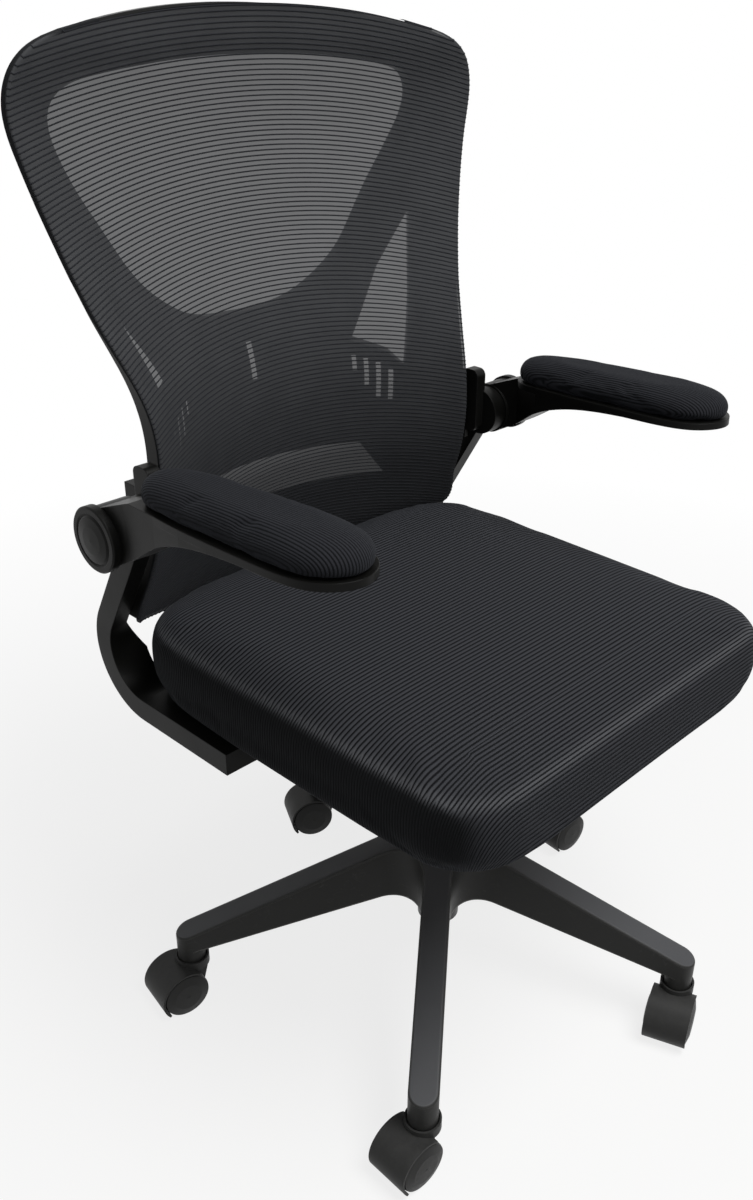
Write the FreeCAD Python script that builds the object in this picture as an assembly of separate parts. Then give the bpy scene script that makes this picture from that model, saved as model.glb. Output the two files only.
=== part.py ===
import FreeCAD
import Part
import math
import os

# Mesh office chair on a five-star caster base.
# Millimetres, +Z up, the sitter faces -Y and +X is the sitter's left.
# The origin is on the floor under the swivel column.

# Shared clearances
SEAT_FIT = 0.05
RUN_FIT = 0.06
END_GAP = 0.4
BOLT_CLEARANCE = 0.2

# Star base
LEG_COUNT = 5
FIRST_LEG_ANGLE = -140.3
STEM_CIRCLE_RADIUS = 289.0
LEG_WIDTH = 31.0
LEG_WALL = 4.0
LEG_TOP_WALL = 5.0
LEG_EDGE_ROUND = 2.5
LEG_CROTCH_RADIUS = 38.0
LEG_TIP_TOP_Z = 100.0
LEG_TIP_BOTTOM_Z = 76.0
HUB_RADIUS = 38.0
HUB_TOP_Z = 190.0
HUB_BOTTOM_Z = 120.0
STUB_BOTTOM_Z = 56.5
STUB_BORE_DEPTH = 33.0
RIB_THICKNESS = 3.0
RIB_RADII = (112.0, 165.0, 218.0)

# Casters
CASTER_ANGLES = (178.0, -160.0, 175.0, 152.0, 170.0)
CASTER_TRAIL = 20.0
WHEEL_RADIUS = 26.5
WHEEL_WIDTH = 16.0
WHEEL_RIM = 5.0
WHEEL_DISC = 3.0
WHEEL_DOME = 2.6
WHEEL_EDGE = 1.5
WHEEL_HUB_RADIUS = 9.0
AXLE_RADIUS = 4.0
CASTER_WEB = 15.0
CASTER_SIDE_GAP = 0.8
HOOD_GAP = 1.0
HOOD_WALL = 2.4
HOOD_BACK_ANGLE = -40.0
HOOD_FRONT_ANGLE = 125.0
COLLAR_RADIUS = 18.9
COLLAR_WALL = 2.1
COLLAR_HEIGHT = 6.5
COLLAR_FLOOR = 5.0
COLLAR_DROP = 1.0
COLLAR_SPOKES = 12
COLLAR_SPOKE_WIDTH = 1.0
COLLAR_SPOKE_DEPTH = 0.7
STEM_RADIUS = 5.5
STEM_FLANGE_RADIUS = 8.0
STEM_SOCKET_DEPTH = 14.0
STEM_TIP_GAP = 1.0
STEM_TIP_CHAMFER = 2.0

# Gas lift
TUBE_RADIUS = 25.0
TUBE_TAPER = 1.0
TUBE_WALL = 1.5
TUBE_BOTTOM_Z = 66.0
TUBE_TOP_Z = 262.0
TUBE_FLOOR = 3.0
BUSH_LENGTH = 80.0
BUSH_FLANGE = 4.0
BUSH_FLANGE_OVERHANG = 1.5
PRESSURE_RADIUS = 14.0
PRESSURE_WALL = 2.0
PRESSURE_BOTTOM_Z = 112.0
PRESSURE_TOP_Z = 338.0
PRESSURE_CAP = 6.0
PRESSURE_TAPER = 1.0
ROD_RADIUS = 5.0
ROD_TAIL = 7.0
ROD_SHOULDER_RADIUS = 8.5
ROD_SHOULDER_HEIGHT = 3.0
PISTON_Z = 198.0
PISTON_HEIGHT = 10.0
BEARING_RADIUS = 12.0
BEARING_HEIGHT = 7.0
BEARING_WASHER = 2.0
BEARING_CAGE_INSET = 1.0
CLIP_RADIUS = 9.0
CLIP_THICKNESS = 1.6
VALVE_RADIUS = 3.5
VALVE_RISE = 4.0
VALVE_LENGTH = 18.0

# Tilt mechanism
SEAT_UNDERSIDE_Z = 388.0
PLATE_THICKNESS = 4.0
PLATE_HALF_WIDTH = 100.0
PLATE_FRONT_Y = -115.0
PLATE_BACK_Y = 105.0
PLATE_BOLT_X = 80.0
PLATE_BOLT_FRONT_Y = -95.0
PLATE_BOLT_BACK_Y = 85.0
HOUSING_HALF_WIDTH = 43.0
HOUSING_WALL = 3.0
HOUSING_FRONT_Y = -100.0
HOUSING_BACK_Y = 72.0
HOUSING_FLOOR_Z = 306.0
HOUSING_FRONT_TOP_Z = 372.0
HOUSING_BACK_TOP_Z = 334.0
HOUSING_SLOPE_START_Y = -52.0
SOCKET_RADIUS = 21.0
SOCKET_DROP = 8.0
SOCKET_TOP_Z = 334.0
PIVOT_Y = -70.0
PIVOT_Z = 358.0
PIVOT_RADIUS = 6.0
PIVOT_END = 1.0
PIVOT_CLIP_RADIUS = 9.0
PIVOT_CLIP_THICKNESS = 1.6
CHEEK_THICKNESS = 4.0
CHEEK_GAP = 1.5
CHEEK_HALF_LENGTH = 26.0
CHEEK_DROP = 13.0
SPRING_Y = 51.5
SPRING_RADIUS = 11.0
SPRING_WIRE_RADIUS = 1.7
SPRING_TURNS = 6.0
SPRING_SEAT_RADIUS = 15.0
SPRING_SEAT_THICKNESS = 4.0
SPRING_SEAT_LIFT = 14.0
KNOB_RADIUS = 22.0
KNOB_HEIGHT = 26.0
KNOB_FLUTES = 10
KNOB_FLUTE_RADIUS = 5.0
KNOB_DROP = 4.0
SCREW_RADIUS = 5.0
LEVER_RADIUS = 4.0
LEVER_INNER_X = 6.0
LEVER_ROD_END_X = -128.0
LEVER_HANDLE_ROOT_X = -104.0
LEVER_HANDLE_TIP_X = -190.0
LEVER_HANDLE_WIDTH = 34.0
LEVER_HANDLE_THICKNESS = 11.0
LEVER_HANDLE_ROUND = 3.3
LEVER_SLOT_CLEARANCE = 1.3
LEVER_TOUCH_GAP = 0.35
LEVER_PIN_X = -33.0
LEVER_PIN_RADIUS = 2.0
LEVER_PIN_HALF = 9.5
LEVER_EAR_GAP = 1.2
LEVER_EAR_HALF = 5.5

# Seat: the rear rows are (share of the half width, share of the way back), and the
# side and crown rows are (rise, inset) pairs of the cushion's section
SEAT_HALF_WIDTH = 252.0
SEAT_FRONT_Y = -256.0
SEAT_BACK_Y = 250.0
SEAT_FRONT_CORNER = 70.0
SEAT_CORNER_SHRINK = 0.3
SEAT_REAR_START_Y = 60.0
SEAT_REAR = ((1.0, 0.0), (0.997, 0.3), (0.984, 0.54), (0.952, 0.69), (0.857, 0.846), (0.722, 0.936),
             (0.5, 0.986), (0.25, 0.998), (0.0, 1.0))
PAN_THICKNESS = 12.0
PAN_INSET = 25.0
CUSHION_LIFT = 1.0
CUSHION_SIDE = ((0.0, 20.0), (4.0, 12.0), (10.0, 6.2), (18.0, 2.4), (28.0, 0.5), (40.0, 0.0), (52.0, 0.3),
                (61.0, 1.3), (68.0, 3.4), (74.0, 7.0), (79.0, 12.0), (82.5, 18.0))
CUSHION_CROWN = ((85.0, 26.0), (87.5, 42.0), (90.0, 64.0), (91.7, 95.0), (92.5, 130.0))
BOLT_RADIUS = 3.0
BOLT_HEAD_RADIUS = 6.0
BOLT_HEAD = 4.0
BOLT_TIP_COVER = 2.0

# Arm supports
SUPPORT_OUTER_X = 250.0
SUPPORT_FOOT_WIDTH = 40.0
SUPPORT_UPRIGHT_WIDTH = 18.0
SUPPORT_THICKNESS = 24.0
SUPPORT_FOOT_FRONT_Y = 56.0
SUPPORT_FOOT_BACK_Y = 191.0
SUPPORT_BEND_RADIUS = 58.0
SUPPORT_NARROW_Z = 456.0
FOOT_PLATE_REACH = 92.0
FOOT_PLATE_THICKNESS = 8.0
FOOT_PLATE_FRONT_Y = 72.0
FOOT_PLATE_BACK_Y = 168.0
FOOT_BOLT_INSET = 20.0
ARM_PIVOT_Y = 169.0
ARM_PIVOT_Z = 588.0
SUPPORT_BOSS_RADIUS = 27.0
EAR_OUTER_X = 235.0
EAR_INNER_X = 220.8
EAR_FRONT_Y = 163.0
EAR_BACK_Y = 187.0
EAR_BOTTOM_Z = 566.0
EAR_TOP_Z = 640.0
EAR_ROUND = 8.0
LINK_OUTER_X = 227.0
TAB_INNER_X = 192.0
TAB_FRONT_Y = 206.0
TAB_THICKNESS = 10.0
TAB_BOTTOM_Z = 556.0
TAB_TOP_Z = 612.0
LUG_OUTER_X = 213.0
BACK_BOLT_X = 203.0
BACK_BOLT_EDGE = 14.0
BACK_BOLT_DEPTH = 11.0

# Armrests: the pad's side rows are (y, half width), its layers (rise, inset)
SHAFT_RADIUS = 10.0
SHAFT_GRIP = 14.0
SHAFT_HEAD_RADIUS = 15.0
SHAFT_HEAD = 4.0
ARM_HUB_RADIUS = 29.0
ARM_HUB_OUTER_X = 286.0
CAP_RADIUS = 31.5
CAP_THICKNESS = 10.0
CAP_CROWN = 1.3
CAP_DOME_RADIUS = 24.0
CAP_RING_STEP = 1.2
CAP_SPIGOT = 6.0
CAP_SPIGOT_WALL = 3.0
CAP_SPIGOT_ROOM = 1.0
PAD_X = 257.0
PAD_SLOPE = 3.1
PAD_UNDER_Z = 643.5
PAD_SIDE = ((125.0, 0.0), (120.0, 15.0), (108.0, 25.0), (80.0, 32.5), (40.0, 36.5), (0.0, 38.5),
            (-50.0, 40.0), (-92.0, 39.5), (-118.0, 33.5), (-134.0, 21.0), (-142.0, 0.0))
PAD_LAYERS = ((0.0, 4.0), (2.0, 1.6), (5.0, 0.3), (9.0, 0.0), (13.0, 0.8), (17.0, 2.8), (20.5, 6.0),
              (23.5, 10.5), (25.5, 16.0), (27.0, 23.0))
TRAY_THICKNESS = 7.0
ARM_UNDER = ((140.0, 571.0), (111.0, 588.5), (76.0, 611.0), (51.0, 621.5), (24.0, 629.0), (-4.0, 634.0))
ARM_UNDER_END_Y = -70.0
ARM_NECK_Y = 128.0
ARM_NECK_INNER_X = 254.0
PAD_SCREW_RADIUS = 2.5
PAD_SCREW_HEAD_RADIUS = 4.5
PAD_SCREW_HEAD = 2.5
PAD_SCREW_REACH = 8.0
PAD_SCREW_Y = (70.0, -70.0)
PAD_SCREW_RECESS = 40.0

# Back: height, half width and front edge depth of the stretched cloth
BACK_EDGE = ((405.0, 246.0, 229.0), (440.0, 238.4, 217.0), (470.0, 232.4, 207.0), (500.0, 226.5, 197.0),
             (530.0, 222.8, 186.5), (560.0, 219.8, 177.8), (590.0, 217.4, 173.1), (620.0, 215.1, 171.8),
             (650.0, 213.6, 173.7), (680.0, 214.9, 180.2), (710.0, 221.0, 190.9), (740.0, 230.3, 203.9),
             (770.0, 240.0, 215.1), (800.0, 248.5, 224.0), (830.0, 256.5, 231.0), (860.0, 264.5, 236.8),
             (890.0, 272.2, 240.8), (920.0, 278.8, 242.5), (950.0, 280.5, 241.0), (980.0, 280.5, 237.0),
             (1030.0, 280.5, 229.0))
BACK_TOP = ((279.0, 920.0), (279.8, 932.0), (277.2, 949.0), (269.5, 964.5), (256.0, 977.0), (233.5, 987.0),
            (205.5, 994.0), (166.0, 1001.0), (118.5, 1007.0), (60.0, 1011.5), (0.0, 1013.0))
BACK_BOTTOM_Z = 464.0
BACK_BOTTOM_DIP = 50.0
BACK_BOTTOM_CORNER = 14.0
CLOTH_THICKNESS = 1.6
CLOTH_GAP = 1.0
CLOTH_SAG = ((405.0, 64.0), (600.0, 61.0), (700.0, 57.0), (800.0, 50.0), (900.0, 38.0), (960.0, 28.0),
             (1000.0, 24.0), (1030.0, 22.0))
FRAME_SAG = ((405.0, 65.0), (482.0, 68.0), (515.0, 94.0), (550.0, 112.0), (600.0, 118.0), (860.0, 118.0),
             (915.0, 106.0), (945.0, 62.0), (970.0, 34.0), (1000.0, 25.0), (1030.0, 23.0))
FRAME_THICKNESS = 4.5
FRAME_EDGE_INSET = 2.0
FRAME_RIM_WIDTH = 12.0
FRAME_RIM_DEPTH = ((405.0, 20.0), (670.0, 20.0), (740.0, 11.5), (800.0, 7.5), (860.0, 6.5), (1030.0, 6.5))
WINDOW_BEAD_WIDTH = 9.0
WINDOW_BEAD_DEPTH = 12.0
WING_BEAD_DEPTH = 26.0
WING_ANGLE = 40.0
SHIELD = ((0.0, 716.0), (38.0, 718.0), (68.0, 725.0), (98.0, 740.0), (119.0, 755.0), (135.0, 770.0),
          (157.0, 800.0), (176.0, 830.0), (196.0, 860.0), (213.0, 890.0), (221.5, 912.0), (221.0, 930.0),
          (209.0, 945.0), (183.0, 954.0), (130.0, 962.0), (65.0, 967.5), (0.0, 969.0))
TRIANGLE = ((206.0, 808.0), (161.0, 750.0), (114.0, 674.0), (148.0, 660.0), (162.0, 642.0), (180.0, 719.0))
SLITS = ((117.0, 640.0, 658.0), (128.5, 622.0, 654.0), (140.0, 607.0, 649.0), (151.5, 604.0, 641.0))
SLIT_WIDTH = 7.0
MIDDLE_SLIT_WIDTH = 10.0
MIDDLE_SLIT_BOTTOM_Z = 645.0
MIDDLE_SLIT_TOP_Z = 686.0
LOW_WINDOW = ((124.0, 553.0), (152.0, 511.0))
SURFACE_STEP = 23.0
CUT_LENGTH = 400.0
OVERLAP = 1.0


def vec(x, y, z):
    return FreeCAD.Vector(x, y, z)


origin = vec(0, 0, 0)
x_axis = vec(1, 0, 0)
y_axis = vec(0, 1, 0)
z_axis = vec(0, 0, 1)


def rotated(shape, centre, axis, angle):
    copy = shape.copy()
    copy.rotate(centre, axis, angle)
    return copy


def moved(shape, offset):
    copy = shape.copy()
    copy.translate(offset)
    return copy


def mirrored(shape):
    return shape.mirror(origin, x_axis)


def box(x0, x1, y0, y1, z0, z1):
    return Part.makeBox(x1 - x0, y1 - y0, z1 - z0, vec(x0, y0, z0))


def rod(radius, start, end):
    return Part.makeCylinder(radius, (end - start).Length, start, end - start)


def post(radius, x, y, low, high):
    return Part.makeCylinder(radius, high - low, vec(x, y, low))


def turned(points):
    ring = [vec(r, 0, z) for r, z in points]
    face = Part.Face(Part.makePolygon(ring + ring[:1]))
    return face.revolve(origin, z_axis, 360)


def prism(points, along):
    return Part.Face(Part.makePolygon(points + points[:1])).extrude(along)


def line(start, end):
    return Part.makeLine(start, end)


def arc(start, middle, end):
    return Part.Arc(start, middle, end).toShape()


def spline(points):
    curve = Part.BSplineCurve()
    curve.interpolate(points)
    return curve.toShape()


def loop(points):
    curve = Part.BSplineCurve()
    curve.interpolate(points, True)
    return Part.Wire([curve.toShape()])


def table(rows, at, column):
    for low, high in zip(rows, rows[1:]):
        if at <= high[0]:
            break
    share = (at - low[0]) / (high[0] - low[0])
    return low[column] + share * (high[column] - low[column])


parts = {}

# Star base: the legs' plan outline is cut to height by a turned envelope
half_angle = math.pi / LEG_COUNT
stub_radius = LEG_WIDTH / 2
leg_reach = STEM_CIRCLE_RADIUS + LEG_WIDTH
leg_angles = [FIRST_LEG_ANGLE + index * 360 / LEG_COUNT for index in range(LEG_COUNT)]


def flat(angle, along, across, z):
    u = vec(math.cos(angle), math.sin(angle), 0)
    n = vec(-math.sin(angle), math.cos(angle), 0)
    return u * along + n * across + vec(0, 0, z)


def star_plan(half_width, crotch, tip):
    root = (half_width + crotch) / math.tan(half_angle)
    valley = (half_width + crotch) / math.sin(half_angle) - crotch
    edges = []
    for degrees in leg_angles:
        a = math.radians(degrees)
        b = a + 2 * half_angle
        right_root = flat(a, root, -half_width, 0)
        right_tip = flat(a, tip, -half_width, 0)
        left_tip = flat(a, tip, half_width, 0)
        left_root = flat(a, root, half_width, 0)
        edges.append(line(right_root, right_tip))
        edges.append(arc(right_tip, flat(a, tip + half_width, 0, 0), left_tip))
        edges.append(line(left_tip, left_root))
        edges.append(arc(left_root, flat(a + half_angle, valley, 0, 0), flat(b, root, -half_width, 0)))
    return Part.Face(Part.Wire(edges))


def leg_line(at_hub, at_tip, radius):
    return at_hub + (at_tip - at_hub) * (radius - HUB_RADIUS) / (STEM_CIRCLE_RADIUS - HUB_RADIUS)


def on_top_line(edge):
    middle = edge.valueAt((edge.FirstParameter + edge.LastParameter) / 2)
    radius = math.hypot(middle.x, middle.y)
    on_leg = radius > HUB_RADIUS + OVERLAP
    return on_leg and abs(middle.z - leg_line(HUB_TOP_Z, LEG_TIP_TOP_Z, radius)) < BOLT_CLEARANCE


full_height = vec(0, 0, HUB_TOP_Z + LEG_WIDTH)
top_at_reach = leg_line(HUB_TOP_Z, LEG_TIP_TOP_Z, leg_reach)
bottom_at_reach = leg_line(HUB_BOTTOM_Z, LEG_TIP_BOTTOM_Z, leg_reach)
envelope = turned([(0, HUB_BOTTOM_Z), (HUB_RADIUS, HUB_BOTTOM_Z), (leg_reach, bottom_at_reach),
                   (leg_reach, top_at_reach), (HUB_RADIUS, HUB_TOP_Z), (0, HUB_TOP_Z)])
star = star_plan(stub_radius, LEG_CROTCH_RADIUS, STEM_CIRCLE_RADIUS).extrude(full_height)
star = star.common(envelope)
star = star.makeFillet(LEG_EDGE_ROUND, [edge for edge in star.Edges if on_top_line(edge)])
channel_tip = STEM_CIRCLE_RADIUS - 2 * stub_radius
channel = star_plan(stub_radius - LEG_WALL, LEG_CROTCH_RADIUS + LEG_WALL, channel_tip).extrude(full_height)
hollow = turned([(HUB_RADIUS, 0), (leg_reach, 0), (leg_reach, top_at_reach - LEG_TOP_WALL),
                 (HUB_RADIUS, HUB_TOP_Z - LEG_TOP_WALL)])
channel = channel.common(hollow)
for degrees in leg_angles:
    for radius in RIB_RADII:
        rib = box(radius, radius + RIB_THICKNESS, -stub_radius, stub_radius, 0, HUB_TOP_Z)
        channel = channel.cut(rotated(rib, origin, z_axis, degrees))
star = star.cut(channel)
for degrees in leg_angles:
    foot = flat(math.radians(degrees), STEM_CIRCLE_RADIUS, 0, STUB_BOTTOM_Z)
    star = star.fuse(post(stub_radius, foot.x, foot.y, STUB_BOTTOM_Z, LEG_TIP_BOTTOM_Z + LEG_TOP_WALL))
    star = star.cut(Part.makeCylinder(STEM_RADIUS + RUN_FIT, STUB_BORE_DEPTH, foot))
hub_bore = turned([(0, HUB_BOTTOM_Z), (TUBE_RADIUS - TUBE_TAPER + SEAT_FIT, HUB_BOTTOM_Z),
                   (TUBE_RADIUS + SEAT_FIT, HUB_TOP_Z), (0, HUB_TOP_Z)])
parts["star_base"] = star.cut(hub_bore).removeSplitter()

# Casters, built with the swivel axis on Z and the wheels trailing along +X
axle = vec(CASTER_TRAIL, 0, WHEEL_RADIUS)
cup_floor_z = STUB_BOTTOM_Z - COLLAR_DROP
cup_inner = COLLAR_RADIUS - COLLAR_WALL
hood_inner = WHEEL_RADIUS + HOOD_GAP
hood_outer = hood_inner + HOOD_WALL
web_y = CASTER_WEB / 2
wheel_inner_y = web_y + CASTER_SIDE_GAP
wheel_outer_y = wheel_inner_y + WHEEL_WIDTH
hood_middle_angle = (HOOD_BACK_ANGLE + HOOD_FRONT_ANGLE) / 2


def hood_point(radius, degrees):
    a = math.radians(degrees)
    return axle + vec(radius * math.cos(a), -wheel_outer_y, radius * math.sin(a))


outer_start = hood_point(hood_outer, HOOD_BACK_ANGLE)
outer_end = hood_point(hood_outer, HOOD_FRONT_ANGLE)
inner_start = hood_point(hood_inner, HOOD_FRONT_ANGLE)
inner_end = hood_point(hood_inner, HOOD_BACK_ANGLE)
hood_wire = Part.Wire([arc(outer_start, hood_point(hood_outer, hood_middle_angle), outer_end),
                       line(outer_end, inner_start),
                       arc(inner_start, hood_point(hood_inner, hood_middle_angle), inner_end),
                       line(inner_end, outer_start)])
hood = Part.Face(hood_wire).extrude(y_axis * (2 * wheel_outer_y))
web_bottom = WHEEL_RADIUS - 2 * AXLE_RADIUS
web_back = CASTER_TRAIL + 2 * AXLE_RADIUS
web_side = [(-cup_inner, cup_floor_z), (-cup_inner, cup_floor_z - COLLAR_FLOOR),
            (-STEM_FLANGE_RADIUS, web_bottom), (CASTER_TRAIL, web_bottom), (web_back, WHEEL_RADIUS),
            (web_back, WHEEL_RADIUS + hood_inner + HOOD_WALL / 2), (cup_inner, cup_floor_z)]
web = prism([vec(x, -web_y, z) for x, z in web_side], y_axis * CASTER_WEB)
cup = post(COLLAR_RADIUS, 0, 0, cup_floor_z - COLLAR_FLOOR, cup_floor_z + COLLAR_HEIGHT)
past_wheel = y_axis * (wheel_outer_y + OVERLAP)
wheel_room = rod(hood_inner, axle - past_wheel, axle + past_wheel)
web_slab = box(-hood_outer, CASTER_TRAIL + hood_outer, -web_y, web_y, 0, 2 * hood_outer)
cup = cup.cut(wheel_room.cut(web_slab))
hood = hood.fuse([web, cup]).cut(post(cup_inner, 0, 0, cup_floor_z, cup_floor_z + hood_outer))
for index in range(COLLAR_SPOKES):
    spoke = box(cup_inner - COLLAR_SPOKE_DEPTH, cup_inner + COLLAR_WALL / 2, -COLLAR_SPOKE_WIDTH / 2,
                COLLAR_SPOKE_WIDTH / 2, cup_floor_z, cup_floor_z + COLLAR_HEIGHT - OVERLAP)
    hood = hood.fuse(rotated(spoke, origin, z_axis, (index + 0.5) * 360 / COLLAR_SPOKES))
socket_z = cup_floor_z - STEM_SOCKET_DEPTH
stem_socket = post(STEM_RADIUS + SEAT_FIT, 0, 0, socket_z, cup_floor_z)
axle_hole = rod(AXLE_RADIUS + RUN_FIT, axle - y_axis * hood_outer, axle + y_axis * hood_outer)
hood = hood.cut(stem_socket).cut(axle_hole).removeSplitter()

stem_top = STUB_BOTTOM_Z + STUB_BORE_DEPTH - STEM_TIP_GAP
flange_top = STUB_BOTTOM_Z - END_GAP
stem = turned([(0, socket_z), (STEM_RADIUS, socket_z), (STEM_RADIUS, cup_floor_z),
               (STEM_FLANGE_RADIUS, cup_floor_z), (STEM_FLANGE_RADIUS, flange_top), (STEM_RADIUS, flange_top),
               (STEM_RADIUS, stem_top - STEM_TIP_CHAMFER), (STEM_RADIUS - STEM_TIP_CHAMFER, stem_top),
               (0, stem_top)])

axle_half = wheel_outer_y - WHEEL_DISC
axle_socket = WHEEL_WIDTH - WHEEL_DISC + END_GAP
wheel = turned([(AXLE_RADIUS + SEAT_FIT, 0), (WHEEL_HUB_RADIUS, 0),
                (WHEEL_HUB_RADIUS, WHEEL_WIDTH - WHEEL_DISC),
                (WHEEL_RADIUS - WHEEL_RIM, WHEEL_WIDTH - WHEEL_DISC), (WHEEL_RADIUS - WHEEL_RIM, 0),
                (WHEEL_RADIUS - WHEEL_EDGE, 0), (WHEEL_RADIUS, WHEEL_EDGE),
                (WHEEL_RADIUS, WHEEL_WIDTH - 2 * WHEEL_EDGE),
                (WHEEL_RADIUS - WHEEL_EDGE / 2, WHEEL_WIDTH - WHEEL_EDGE / 2),
                (WHEEL_RADIUS - 2 * WHEEL_EDGE, WHEEL_WIDTH),
                (WHEEL_RADIUS * 0.6, WHEEL_WIDTH + WHEEL_DOME * 0.75),
                (0, WHEEL_WIDTH + WHEEL_DOME), (0, axle_socket), (AXLE_RADIUS + SEAT_FIT, axle_socket)])
wheel_left = moved(rotated(wheel, origin, x_axis, -90), axle + y_axis * wheel_inner_y)
wheel_right = moved(rotated(wheel, origin, x_axis, 90), axle - y_axis * wheel_inner_y)
caster_axle = rod(AXLE_RADIUS, axle - y_axis * axle_half, axle + y_axis * axle_half)
caster = {"caster_hood_": hood, "caster_stem_": stem, "caster_axle_": caster_axle,
          "caster_wheels_": Part.makeCompound([wheel_left, wheel_right])}
for index, degrees in enumerate(leg_angles):
    spot = flat(math.radians(degrees), STEM_CIRCLE_RADIUS, 0, 0)
    for name, shape in caster.items():
        parts[name + str(index + 1)] = moved(rotated(shape, origin, z_axis, CASTER_ANGLES[index]), spot)

# Gas lift: fixed column tube, turning rod and sliding pressure tube
tube_low = TUBE_RADIUS - TUBE_TAPER
tube_inner = tube_low - TUBE_WALL
rod_bore = ROD_RADIUS + RUN_FIT
bearing_z = TUBE_BOTTOM_Z + TUBE_FLOOR
parts["column_tube"] = turned([(rod_bore, TUBE_BOTTOM_Z), (tube_low, TUBE_BOTTOM_Z), (tube_low, HUB_BOTTOM_Z),
                               (TUBE_RADIUS, HUB_TOP_Z), (TUBE_RADIUS, TUBE_TOP_Z), (tube_inner, TUBE_TOP_Z),
                               (tube_inner, bearing_z), (rod_bore, bearing_z)])
bush_low = TUBE_TOP_Z - BUSH_LENGTH
bush_top = TUBE_TOP_Z + BUSH_FLANGE
bush_bore = PRESSURE_RADIUS + RUN_FIT
bush_flange = TUBE_RADIUS + BUSH_FLANGE_OVERHANG
parts["guide_bush"] = turned([(bush_bore, bush_low), (tube_inner - SEAT_FIT, bush_low),
                              (tube_inner - SEAT_FIT, TUBE_TOP_Z), (bush_flange, TUBE_TOP_Z),
                              (bush_flange, bush_top), (bush_bore, bush_top)])
bearing_top = bearing_z + BEARING_HEIGHT
cage_radius = BEARING_RADIUS - BEARING_CAGE_INSET
cage_low = bearing_z + BEARING_WASHER
cage_top = bearing_top - BEARING_WASHER
parts["thrust_bearing"] = turned([(rod_bore, bearing_z), (BEARING_RADIUS, bearing_z),
                                  (BEARING_RADIUS, cage_low), (cage_radius, cage_low),
                                  (cage_radius, cage_top), (BEARING_RADIUS, cage_top),
                                  (BEARING_RADIUS, bearing_top), (rod_bore, bearing_top)])
shoulder_z = bearing_top + END_GAP
shoulder_top = shoulder_z + ROD_SHOULDER_HEIGHT
piston_radius = PRESSURE_RADIUS - PRESSURE_WALL - RUN_FIT
piston_top = PISTON_Z + PISTON_HEIGHT
rod_low = TUBE_BOTTOM_Z - ROD_TAIL
parts["piston_rod"] = turned([(0, rod_low), (ROD_RADIUS, rod_low), (ROD_RADIUS, shoulder_z),
                              (ROD_SHOULDER_RADIUS, shoulder_z), (ROD_SHOULDER_RADIUS, shoulder_top),
                              (ROD_RADIUS, shoulder_top), (ROD_RADIUS, PISTON_Z), (piston_radius, PISTON_Z),
                              (piston_radius, piston_top), (0, piston_top)])
clip_top = TUBE_BOTTOM_Z - END_GAP
clip_low = clip_top - CLIP_THICKNESS
clip_bore = ROD_RADIUS + SEAT_FIT
parts["rod_clip"] = turned([(clip_bore, clip_low), (CLIP_RADIUS, clip_low),
                            (CLIP_RADIUS, clip_top), (clip_bore, clip_top)])
socket_bottom = HOUSING_FLOOR_Z - SOCKET_DROP
pressure_top_radius = PRESSURE_RADIUS - PRESSURE_TAPER
pressure_inner = PRESSURE_RADIUS - PRESSURE_WALL
valve_bore = VALVE_RADIUS + RUN_FIT
parts["pressure_tube"] = turned([(rod_bore, PRESSURE_BOTTOM_Z), (PRESSURE_RADIUS, PRESSURE_BOTTOM_Z),
                                 (PRESSURE_RADIUS, socket_bottom), (pressure_top_radius, SOCKET_TOP_Z),
                                 (pressure_top_radius, PRESSURE_TOP_Z), (valve_bore, PRESSURE_TOP_Z),
                                 (valve_bore, PRESSURE_TOP_Z - PRESSURE_CAP),
                                 (pressure_top_radius - PRESSURE_WALL, PRESSURE_TOP_Z - PRESSURE_CAP),
                                 (pressure_inner, socket_bottom),
                                 (pressure_inner, PRESSURE_BOTTOM_Z + PRESSURE_CAP),
                                 (rod_bore, PRESSURE_BOTTOM_Z + PRESSURE_CAP)])
valve_top = PRESSURE_TOP_Z + VALVE_RISE
parts["valve_pin"] = post(VALVE_RADIUS, 0, 0, valve_top - VALVE_LENGTH, valve_top)

# Tilt housing: an open-topped pressing with the column socket and the pivot bores
housing_side = [(HOUSING_FRONT_Y, HOUSING_FLOOR_Z), (HOUSING_FRONT_Y, HOUSING_FRONT_TOP_Z),
                (HOUSING_SLOPE_START_Y, HOUSING_FRONT_TOP_Z), (HOUSING_BACK_Y, HOUSING_BACK_TOP_Z),
                (HOUSING_BACK_Y, HOUSING_FLOOR_Z)]
housing_face = [vec(-HOUSING_HALF_WIDTH, y, z) for y, z in housing_side]
housing = prism(housing_face, x_axis * (2 * HOUSING_HALF_WIDTH))
housing_inner = HOUSING_HALF_WIDTH - HOUSING_WALL
housing_floor_top = HOUSING_FLOOR_Z + HOUSING_WALL
housing = housing.cut(box(-housing_inner, housing_inner, HOUSING_FRONT_Y + HOUSING_WALL,
                          HOUSING_BACK_Y - HOUSING_WALL, housing_floor_top, SEAT_UNDERSIDE_Z))
housing = housing.fuse(post(SOCKET_RADIUS, 0, 0, socket_bottom, SOCKET_TOP_Z))
housing = housing.cut(turned([(0, socket_bottom), (PRESSURE_RADIUS + SEAT_FIT, socket_bottom),
                              (pressure_top_radius + SEAT_FIT, SOCKET_TOP_Z), (0, SOCKET_TOP_Z)]))
cheek_inner = HOUSING_HALF_WIDTH + CHEEK_GAP
cheek_outer = cheek_inner + CHEEK_THICKNESS
clip_inner_x = cheek_outer + END_GAP
clip_outer_x = clip_inner_x + PIVOT_CLIP_THICKNESS
pivot_half = clip_outer_x + PIVOT_END
pivot_left = vec(-pivot_half, PIVOT_Y, PIVOT_Z)
pivot_right = vec(pivot_half, PIVOT_Y, PIVOT_Z)
pivot_bore = rod(PIVOT_RADIUS + RUN_FIT, pivot_left, pivot_right)
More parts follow.
